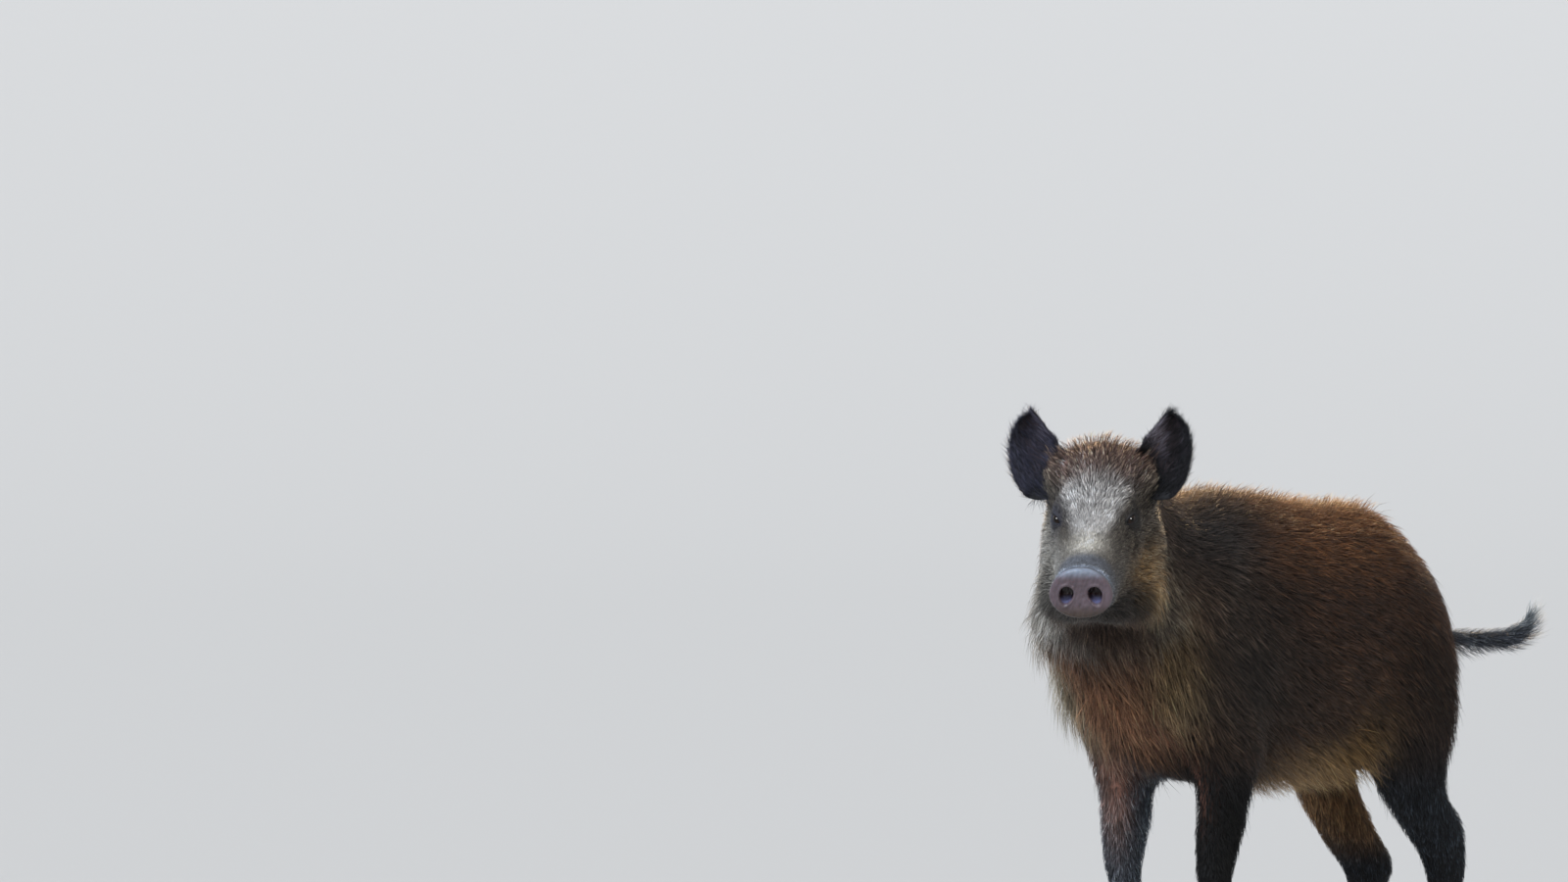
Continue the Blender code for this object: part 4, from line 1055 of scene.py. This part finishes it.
# %% Hooves and dewclaws
horn, tree, shader = new_material("Worn dark hoof horn", Roughness=0.5, IOR=1.54)
place = add(tree, "TexCoord").outputs["Object"]
level = add(tree, "Mapping", {"Vector": place, "Scale": (1.0, 1.0, 7.0)}).outputs["Vector"]
layers = add(tree, "TexNoise", {"Vector": level, "Scale": 1 / (14 * MM), "Detail": 6.0}).outputs["Fac"]
upright = add(tree, "Mapping", {"Vector": place, "Scale": (6.0, 6.0, 0.8)}).outputs["Vector"]
fibres = add(tree, "TexNoise", {"Vector": upright, "Scale": 1 / (6 * MM), "Detail": 4.0}).outputs["Fac"]
ramp = add(tree, "ValToRGB", {"Fac": layers})
for stop, (at, tone) in zip(ramp.color_ramp.elements, ((0.30, "120f0d"), (0.75, "2b2520"))):
    stop.position = at
    stop.color = opaque(tone)
tree.links.new(ramp.outputs["Color"], shader.inputs["Base Color"])
bump = add(tree, "Bump", {"Height": fibres, "Strength": 0.4, "Distance": 0.4 * MM})
tree.links.new(bump.outputs["Normal"], shader.inputs["Normal"])


def hoof(low, high):
    """A node's own box, filled by an outline carried from the sole up into the foot, with growth rings."""
    middle, half = (low + high) / 2, (high - low) / 2
    up = np.concatenate([[0.0, 0.0], np.linspace(0.02, 1.25, 40)])[:, None]
    cosine, sine = np.cos(around(72)), np.sin(around(72))
    bulge = 0.035 * np.sin(np.clip(up, 0, 1) * math.pi)
    swell = 0.965 + bulge - 0.10 * rise(up, 0.15, 0.9) - 0.40 * rise(up, 0.78, 1.3)
    swell[0] *= 0.9  # the sole's inner ring
    swell = swell + 0.006 * np.sin(up * 34 + 0.6 * sine) * rise(up, 0.05, 0.2)
    toe = 1 - 0.34 * np.clip(-sine, 0, 1) ** 2.2
    x = middle[0] + half[0] * cosine * toe * swell
    y = middle[1] + half[1] * sine * 0.97 * swell + up * 0.20 * half[1]
    return x, y, low[2] + (high[2] - low[2]) * up * (1 - 0.26 * rise(sine, -0.6, 1.0))


def dewclaw(low, high):
    """A small blunt cone that hangs down and back: rings of an oval that narrows to the tip."""
    middle, half = (low + high) / 2, (high - low) / 2
    t = np.linspace(-0.98, 0.98, 26)[:, None]
    wide = np.sqrt(1 - np.abs(t) ** 2.6) * (1 + 0.22 * t) * (1 + 0.02 * np.sin(t * 16))
    x = middle[0] + 0.95 * half[0] * wide * np.cos(around(40))
    y = middle[1] + 0.72 * half[1] * wide * np.sin(around(40)) - 0.42 * half[1] * t
    return x, y, middle[2] + half[2] * 0.98 * t


for kind, rings_of in (("dewclaw", dewclaw), ("hoof", hoof)):
    for name in sorted(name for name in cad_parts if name.startswith(kind)):
        rings = together(*rings_of(*(np.array(corner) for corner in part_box(name))))
        piece(name.replace(kind, kind + "_horn"), *tube(rings), horn, "horn", name)

# %% [markdown]
# ## Bristles
# The coat is solid: every bristle or small lock is a three-sided taper that leaves the skin at a slant and
# bends over along the lie of the coat. Hair curves would render as well, but an exported model drops them.
# All bristles are worked out at once as arrays: a root, a bend and a tip, each a small triangle or a point.

# %% Scatter roots and raise bristles
CORNERS = np.radians((90.0, 210.0, 330.0))  # of a bristle's three-sided section
JOINTED_FACES = [(0, 2, 1), (0, 1, 4), (0, 4, 3), (1, 2, 5), (1, 5, 4), (2, 0, 3), (2, 3, 5)]
JOINTED_FACES += [(3, 4, 6), (4, 5, 6), (5, 3, 6)]
BRISTLES = {  # a jointed taper and a plain one: each ring's place along it and width, and the faces
    True: (((0.0, 1.0), (0.5, 0.72)), JOINTED_FACES),
    False: (((0.0, 1.0),), [(0, 2, 1), (0, 1, 3), (1, 2, 3), (2, 0, 3)]),
}


def scattered(points, faces, per_cm2, seed):
    """Roots spread evenly by area and number: the faces' shares are summed and cut at equal steps."""
    rng = np.random.default_rng(seed)
    a, b, c = (points[faces[:, k]] for k in range(3))
    area = 0.5 * np.linalg.norm(np.cross(b - a, c - a), axis=1)
    wanted = np.cumsum(area * 1e4 * per_cm2[faces].mean(axis=1))
    number = int(wanted[-1])
    steps = np.arange(number) + rng.random(number)
    face = np.minimum(np.searchsorted(wanted, steps), len(faces) - 1)
    s, t = np.sqrt(rng.random(number)), rng.random(number)
    return faces[face], np.stack([1 - s, s * (1 - t), s * t], -1), rng


def mixed(values, corners, shares):
    """Values at the roots, from those at the corners of their faces."""
    return np.einsum("nk,nk...->n...", shares, values[corners])


def bristle_points(root, normal, way, length, height, width, bend, sink, jointed=True):
    """Corners of tapers round a middle line, root + way reach t + normal height (2t - t^2) + bend t^2."""
    across = np.cross(normal, way)
    reach = np.sqrt(np.maximum(length**2 - height**2, (0.3 * length) ** 2))
    rows = []
    for t, wide in BRISTLES[jointed][0]:
        raised = height * (2 * t - t * t) - sink * (t == 0)
        middle = root + way * (reach * t)[:, None] + normal * raised[:, None] + bend * t * t
        for angle in CORNERS:
            off = across * math.cos(angle) + normal * (0.55 * math.sin(angle))
            rows.append(middle + off * (0.5 * width * wide)[:, None])
    rows.append(root + way * reach[:, None] + normal * height[:, None] + bend)
    return np.stack(rows, axis=1)


print("a jointed bristle has", len(BRISTLES[True][1]), "faces, a plain one", len(BRISTLES[False][1]))

# %% [markdown]
# ## Bristle material
# A boar's bristle is stiff keratin with a soft gloss. Along it the colour goes from the dark root through the
# region's hair colour to its tip colour, and how far down the pale tip reaches differs from bristle to
# bristle, by a random number that each one carries. That gives the grizzled look.

# %% Keratin bristle
bristle, tree, shader = new_material("Keratin bristle", Roughness=0.5, IOR=1.55, Specular_IOR_Level=0.35)
hair, tip = (add(tree, "Attribute", attribute_name=name).outputs["Color"] for name in ("hair", "tip"))
along, chance = (add(tree, "Attribute", attribute_name=name).outputs["Fac"] for name in ("along", "chance"))
darker = {"From Min": 0.0, "From Max": 0.45, "To Min": 0.22, "To Max": 1.0}
root_dark = add(tree, "MapRange", {"Value": along, **darker}).outputs["Result"]
shaded = add(tree, "VectorMath", {0: hair, "Scale": root_dark}, operation="SCALE").outputs["Vector"]
starts = add(tree, "Math", {0: chance, 1: 0.42, 2: 0.42}, operation="MULTIPLY_ADD").outputs["Value"]
ends = add(tree, "Math", {0: starts, 1: 0.30}, operation="ADD").outputs["Value"]
pale = add(tree, "MapRange", {"Value": along, "From Min": starts, "From Max": ends}).outputs["Result"]
banded = add(tree, "Mix", {"Factor": pale, "A": shaded, "B": tip}, data_type="RGBA")
tree.links.new(banded.outputs["Result"], shader.inputs["Base Color"])
print(bristle.name, "has", len(tree.nodes), "nodes")

# %% [markdown]
# ## Places on the unrolled skin
# A baked picture gives each bristle its colour in the exported model, so each has its own small square of it.
# The body, head, legs and tail are unrolled like tubes and the roots put in order there, so that neighbours
# on the skin stay neighbours in the picture.

# %% Write bristles as pieces
PATCH = 0.003  # the side of one bristle's square, as a share of the picture
MOST_TRIANGLES = 190000
coat_total = 0


def unrolled(points):
    """A place on the unrolled skin: each part as a tube cut open, how far along it and how far round it."""
    _, (x, y, z), _, (hx, hy, hz), m = places(points)
    part = np.argmax([m["head"], m["tail"], m["fore"], m["hind"], np.full(len(x), 0.5)], axis=0)
    aside = np.choose(part, (hx, x - 0.04, np.abs(x) - 0.075, np.abs(x) - 0.07, x))
    above = np.choose(part, (hz + 0.02, z - 0.44, y + 0.22, y - 0.25, z - 0.45))
    left_leg = ((part == 2) | (part == 3)) * (x > 0)
    return 4.0 * (part + 5 * left_leg) + np.choose(part, (hy, y, -z, -z, y)), np.arctan2(aside, above)


def spread_places(long, round_it):
    """Each root's own place in the unit square: equal columns by the way along, rows by the way round."""
    number = len(long)
    columns = int(math.ceil(math.sqrt(number)))
    column, row = np.empty(number, int), np.empty(number, int)
    column[np.argsort(long, kind="stable")] = np.arange(number) // columns
    order = np.lexsort((round_it, column))
    row[order] = np.arange(number) - column[order] * columns
    return np.stack([column, row], -1) / columns * (1 - PATCH) + 0.5 * (1 / columns - PATCH) * 0.9


def write_bristles(name, corners, roots, hair, tip, chance, jointed, slot):
    """One or more pieces, each under the most triangles, with their places on the unrolled skin and marks."""
    global coat_total
    rows, pattern = BRISTLES[jointed]
    along = np.append(np.repeat([t for t, wide in rows], 3), 1.0)
    across = np.append(np.tile((0.5, 0, 1), len(rows)), 0.5)
    number, ring, _ = corners.shape
    parts = int(math.ceil(number / (MOST_TRIANGLES // len(pattern))))
    for index in range(parts):
        pick = np.arange(index, number, parts)
        faces = (np.array(pattern)[None] + (np.arange(len(pick)) * ring)[:, None, None]).reshape(-1, 3)
        title = name if parts == 1 else f"{name}_{index + 1}"
        made = piece(title, corners[pick].reshape(-1, 3), faces, bristle, slot)
        uv = spread_places(*unrolled(roots[pick]))[:, None, :] + PATCH * np.stack([across, along], -1)[None]
        layer = made.data.uv_layers.new(name="OFBake")
        layer.data.foreach_set("uv", uv.reshape(-1, 2)[faces.ravel()].astype(np.float32).ravel())
        for key, value in (("hair", hair), ("tip", tip), ("chance", chance)):
            mark(made, key, np.repeat(value[pick], ring, axis=0))
        mark(made, "along", np.tile(along, len(pick)))
        coat_total += len(faces)


print("a piece of coat holds at most", MOST_TRIANGLES, "triangles")

# %% [markdown]
# ## Growing a layer of coat
# Hair never lies singly: it gathers into locks, each drawn to a common point. So the tips that fall in one
# cell of a warped grid are drawn towards their mean, though never by more than about a quarter of a
# bristle's length. Chance varies length, width, swing and brightness a little from root to root. In the
# function, wild is the swing in degrees and droop is how far tips sink under their own weight.

# %% Locks and layers
LOCKS = (0.012, 0.58)  # how wide a lock is, in metres, and how far its tips are drawn together
LOCK_PULL = 0.26  # the most that a tip moves, as a share of its bristle's length
STRIDE = 4099  # more cells than any row of the grid has, so that each cell has its own number


def gathered(root, tip_at, size, share, seed):
    """Moves of tips into locks: a share of the way to the mean of those in one cell of a warped grid."""
    warp = 0.8 * size * np.stack([noise(root, 2.2 * size, seed + k) for k in range(3)], -1)
    cell = np.floor((root + warp) / size).astype(np.int64)
    key = (cell[:, 0] * STRIDE + cell[:, 1]) * STRIDE + cell[:, 2]
    _, lock, count = np.unique(key, return_inverse=True, return_counts=True)
    return share * ((summed(tip_at, lock, len(count)) / count[:, None])[lock] - tip_at), lock


def grow(name, on, measures, seed, jointed=True, slot="coat", wild=9, locks=LOCKS, droop=0.06, light=1):
    """Bristles on a surface, which is a dictionary of points, faces, normals, lie, hair and tip colours."""
    corners, shares, rng = scattered(on["points"], on["faces"], measures[:, 3], seed)
    root, normal, way, hair, tip = (
        mixed(on[key], corners, shares) for key in ("points", "normals", "lie", "hair", "tip")
    )
    depth, length, width = (mixed(measures, corners, shares)[:, :3] * MM).T
    number = len(root)
    normal = unit(normal)
    way = flattened(way, normal)
    across = np.cross(normal, way)
    swing = np.radians(wild) * rng.normal(size=number) + 0.22 * noise(root, 0.022, seed + 50)
    way = way * np.cos(swing)[:, None] + across * np.sin(swing)[:, None]
    length = length * rng.uniform(0.7, 1.25, number)
    height = np.minimum(depth * rng.uniform(0.45, 1.1, number), 0.8 * length)
    width = width * rng.uniform(0.7, 1.3, number)
    tip_at = root + way * length[:, None] + normal * height[:, None]
    share = locks[1] * rng.uniform(0.5, 1.4, number)[:, None]
    bend, lock = gathered(root, tip_at, locks[0], share, seed + 60)
    pulled = np.linalg.norm(bend, axis=1) + 1e-9
    bend = bend * np.minimum(1, LOCK_PULL * length / pulled)[:, None] + together(0, 0, -droop * length)
    bend = bend - normal * np.minimum((bend * normal).sum(axis=1, keepdims=True) + 0.7 * height[:, None], 0)
    points = bristle_points(root, normal, way, length, height, width, bend, 0.8 * MM, jointed)
    by_root, by_lock = rng.normal(size=number), rng.normal(size=lock.max() + 1)[lock]
    bright = light * np.exp(0.34 * by_root + 0.24 * by_lock)[:, None]
    hair, tip = np.clip(hair * bright, 0, 1), np.clip(tip * bright, 0, 1)
    write_bristles(name, points, root, hair, tip, rng.random(number), jointed, slot)


print("a lock is about", round(LOCKS[0] / MM), "mm wide")

# %% [markdown]
# ## The coat of body, head and legs
# Underneath lies a close layer of short bristles, which are plain tapers with four faces each; over it the
# long jointed guard bristles bend and overlap in locks. On the muzzle, the lower legs and the feet the coat
# is only a few millimetres long and the plain tapers do alone.

# %% Grow the coat
on_head = region["head"] > 0.5
on_lips = (mouth_apart < 2.2 * MM) & (mouth_back > 0.02) & (mouth_back < 0.155) & on_head
bare_share = np.where(lids > 0.35, 0.0, 1.0) * (1 - 0.84 * thin_coat)
bare_share[on_lips | (hy < 0.0185) & on_head] = 0
measures[:, 3] *= bare_share
longish = rise(measures[:, 1], 9.0, 14.0)
coat = dict(points=hide_points, faces=hide_faces, normals=hide_normals, lie=lie)
coat.update(hair=hair_colour, tip=tip_colour)
for name, keep, scale, seed, settings in (
    ("under_coat", longish, (0.55, 0.62, 1.1, 1.2), 11, dict(jointed=False, wild=12.0, light=0.6)),
    ("short_coat", 1 - longish, (1.0, 1.0, 1.0, 1.0), 12, dict(jointed=False, wild=8.0, locks=(0.007, 0.5))),
    ("guard_coat", longish, (1.0, 1.0, 1.05, 0.75), 13, {}),
):
    grow(name, coat, measures * scale * together(1, 1, 1, keep), seed, **settings)
print("coat so far", coat_total, "triangles")

# %% [markdown]
# ## Eyelashes
# A boar has one row of stiff lashes on the upper lid, longest at its outer end. Their roots follow the upper
# edge of the opening between the lids, and they lean out and up as the lid does.

# %% Grow the lashes
for word, side in SIDES.items():
    look, along, up = EYE_FRAMES[word]
    t = np.linspace(-0.92, 0.96, 34)
    rng = np.random.default_rng(59 if side > 0 else 60)
    over = OPENING_UP * 1.12 * np.sqrt(1 - t**2) * (1 - 0.25 * t**2)
    out = unit(LID_RADIUS * look + (t * OPENING * 1.05)[:, None] * along + over[:, None] * up)
    root = EYE_MIDDLES[word] + out * (EYE_RADIUS + 0.7 * LID_THICK)
    way = flattened(up + (0.5 * t + 0.2 * rng.normal(size=len(t)))[:, None] * along, out)
    long = (6 + 2.5 * t + rng.normal(size=len(t))) * MM
    wide = np.full(len(t), 0.42 * MM)
    points = bristle_points(root, out, way, long, 0.72 * long, wide, -0.3 * long[:, None] * up, 0.4 * MM)
    hair, tip = (np.broadcast_to(linear(tone), (len(t), 3)) for tone in ("121114", "3c3a3c"))
    write_bristles("lashes_" + word, points, root, hair, tip, rng.random(len(t)), True, "coat")

# %% [markdown]
# ## Long guard hairs
# A few hairs stand well clear of the rest and break up the outline: along the crest, at the throat and
# breast, under the belly, behind the elbows and thighs and at the jaw. They are thinner than the bristles
# below them, up to twice as long, and a little lighter.

# %% Guard hairs that break the outline
crest, throat, belly = region["crest"], region["throat"], region["belly"]
elbow = both_sides(hide_own, (0.095, -0.13, 0.27), (0.05, 0.05, 0.10))
flanks = both_sides(hide_own, (0.075, 0.10, 0.28), (0.05, 0.06, 0.05))
whiskers = region["head"] * rise(hz, -0.035, -0.065) * rise(hy, 0.12, 0.17)
right_edge = throat * rise(x, -0.020, -0.060)
guard = together(measures[:, 0] * 1.35, measures[:, 1] * 1.35, 0.75, 0.5 * longish)
guard[:, 3] += 2.2 * crest + 1.6 * throat + 3.4 * belly + 1.6 * elbow + 1.6 * flanks + 4.5 * whiskers
guard[:, 3] = (guard[:, 3] + 2.6 * right_edge) * bare_share * longish
guard[:, 0] += 8 * throat + 12 * belly + 5 * whiskers + 5 * elbow
guard[:, 1] += 14 * throat + 22 * belly + 8 * elbow + 6 * flanks + 8 * whiskers
grow("guard_hairs", coat, guard, 21, wild=14.0, locks=(0.016, 0.25), droop=0.12, light=1.25)

# %% [markdown]
# ## The crest and the tail
# The bristles of the crest stand up when a boar is watchful; they rise steeply and only bend at the tip. The
# tail is clothed in flat dark hair, paler on top as painted rim light, has a loose tassel and trails wisps
# below its root.

# %% Crest bristles and tail hair
on_crown = region["head"] * rise(hy, 0.245, 0.275) * rise(hz, 0.080, 0.100)
raised = together(30 - 9 * on_crown, 37 - 11 * on_crown, 0.95, 3.6 * rise(crest, 0.15, 0.7) + 6 * on_crown)
grow("crest_bristles", coat, raised, 23, wild=16.0, locks=(0.010, 0.6), droop=-0.05, light=1.15)

down_tail = distances(hide_own, TAIL_LINE[::4]).argmin(axis=1) / (len(TAIL_BENDS) - 1)
below = hide_normals[:, 2]
hanging = rise(-below, 0.0, 0.6) * rise(down_tail, 0.55, 0.25)
tassel_depth = 11 + 3 * rise(down_tail, 0.6, 0.9) + 10 * hanging
tassel_length = 28 + 14 * rise(down_tail, 0.5, 0.9) + 22 * hanging
tassel = together(tassel_depth, tassel_length, 0.7, region["tail"] * (15 + 12 * rise(down_tail, 0.6, 0.9)))
tail_lie = unit(lie + together(0, 0, -0.8 * rise(down_tail, 0.75, 0.35) * (below < 0)))
tail_coat = {**coat, "lie": flattened(tail_lie, hide_normals)}
loose = dict(wild=14.0, locks=(0.008, 0.35), droop=0.04, light=1.6)
grow("tail_hair", tail_coat, tassel, 25, slot="dark_coat", **loose)
print("crest and tail grown, coat so far", coat_total, "triangles")

# %% [markdown]
# ## Hair of the ears
# The back of an ear is clothed in short, dark, close hair that runs to the edge and past it; inside, long
# thin hairs spring from the front edge and cross the opening. A fringe along the rim softens the outline, and
# below each ear a wisp of longer hair hangs out to the side.

# %% Ear hair
EAR_TONES = {  # inside: hair far from the head, near the head, and the tip far from the head; the dark far hair is painted shade in the cup, the pale near hair painted sky light and sheen
    "left": ("07080d", "8a8492", "161820"),
    "right": ("1c1e2c", "544e5e", "444254"),
}

for word, (points, faces, across, inner, up) in EARS.items():
    side = SIDES[word]
    outwards = HEAD_AXES @ np.array((side * 1.0, 0.1, 0.0))
    upwards = HEAD_AXES @ np.array((side * 0.12, 0.25, 1.0))
    skyward = unit(upwards)
    outer = across * np.sign((points - points.mean(axis=0)) @ outwards * across).mean()
    behind = unit(upwards + 0.75 * outer[:, None] * outwards)
    way = np.where(inner[:, None] > 0.5, unit(0.8 * outwards + 0.75 * upwards), behind)
    rim = np.maximum(rise(np.abs(across), 0.80, 0.95), rise(up, 0.90, 0.97))
    low_end = rise(up, 0.02, -0.12)
    deep = inner * rise(np.abs(across), 0.75, 0.35)
    near_head = rise(in_head(points)[:, 0], 0.084, 0.066) if side > 0 else rise(-outer, -0.15, 0.9)
    near_head = near_head * rise(up, -0.02, 0.25)
    front_rim = rim * rise(-outer, 0.70, 0.92) * (0.65 + 0.35 * side) * inner
    far_tone, near_tone, far_tip = EAR_TONES[word]
    # inside the ear: far hair darker as painted shade in the cup, near hair paler as painted sky light and
    # sheen
    hair = np.where(inner[:, None] > 0.5, painted(far_tone, (near_head, near_tone)), linear("1c1e2a"))
    # painted sky light on the hair of the front rim
    hair = layered(hair, [(0.8 * front_rim, linear("a49eaa"))])
    tip = painted(far_tip, (near_head * inner, "9c96a2"), (front_rim, "d4ced8"))
    normals = normals_of(points, faces)
    ear = dict(points=points, faces=faces, normals=normals, lie=flattened(way, normals), hair=hair, tip=tip)
    close = together(2.4 + 5.5 * inner * (1 - rim), 9 + 12 * inner, 0.72, 40 - 6 * inner - 6 * deep)
    dark = dict(slot="ear_coat", droop=0.0)
    grow("ear_hair_" + word, ear, close, 31 + side, jointed=False, wild=13.0, locks=(0.006, 0.35), **dark)

    radial = points - points[up > 0].mean(axis=0) + 0.02 * upwards
    radial = flattened(radial, np.broadcast_to(HEAD_AXES[:, 1], radial.shape))
    way = unit(radial + (1.1 - 0.8 * rise(up, 0.5, 0.9)[:, None]) * skyward)
    ear["lie"] = unit(way - 1.4 * low_end[:, None] * skyward)
    fringe = together(3, 10 + 6 * rise(up, 0.6, 1.0) + 14 * low_end, 0.36, rim * 40 + 22 * low_end)
    grow("ear_fringe_" + word, ear, fringe, 35 + side, wild=16.0, locks=(0.007, 0.15), light=1.3, **dark)
    strands = 3.0 * inner * near_head * rise(up, 0.0, 0.25)
    wisps = together(8, 24, 0.5, rim * 2.2 * rise(up, 0.55, 0.85) + 3.5 * low_end + strands)
    grow("ear_wisps_" + word, ear, wisps, 39 + side, wild=26.0, locks=(0.010, 0.3), light=1.6, **dark)
print("ears clothed")
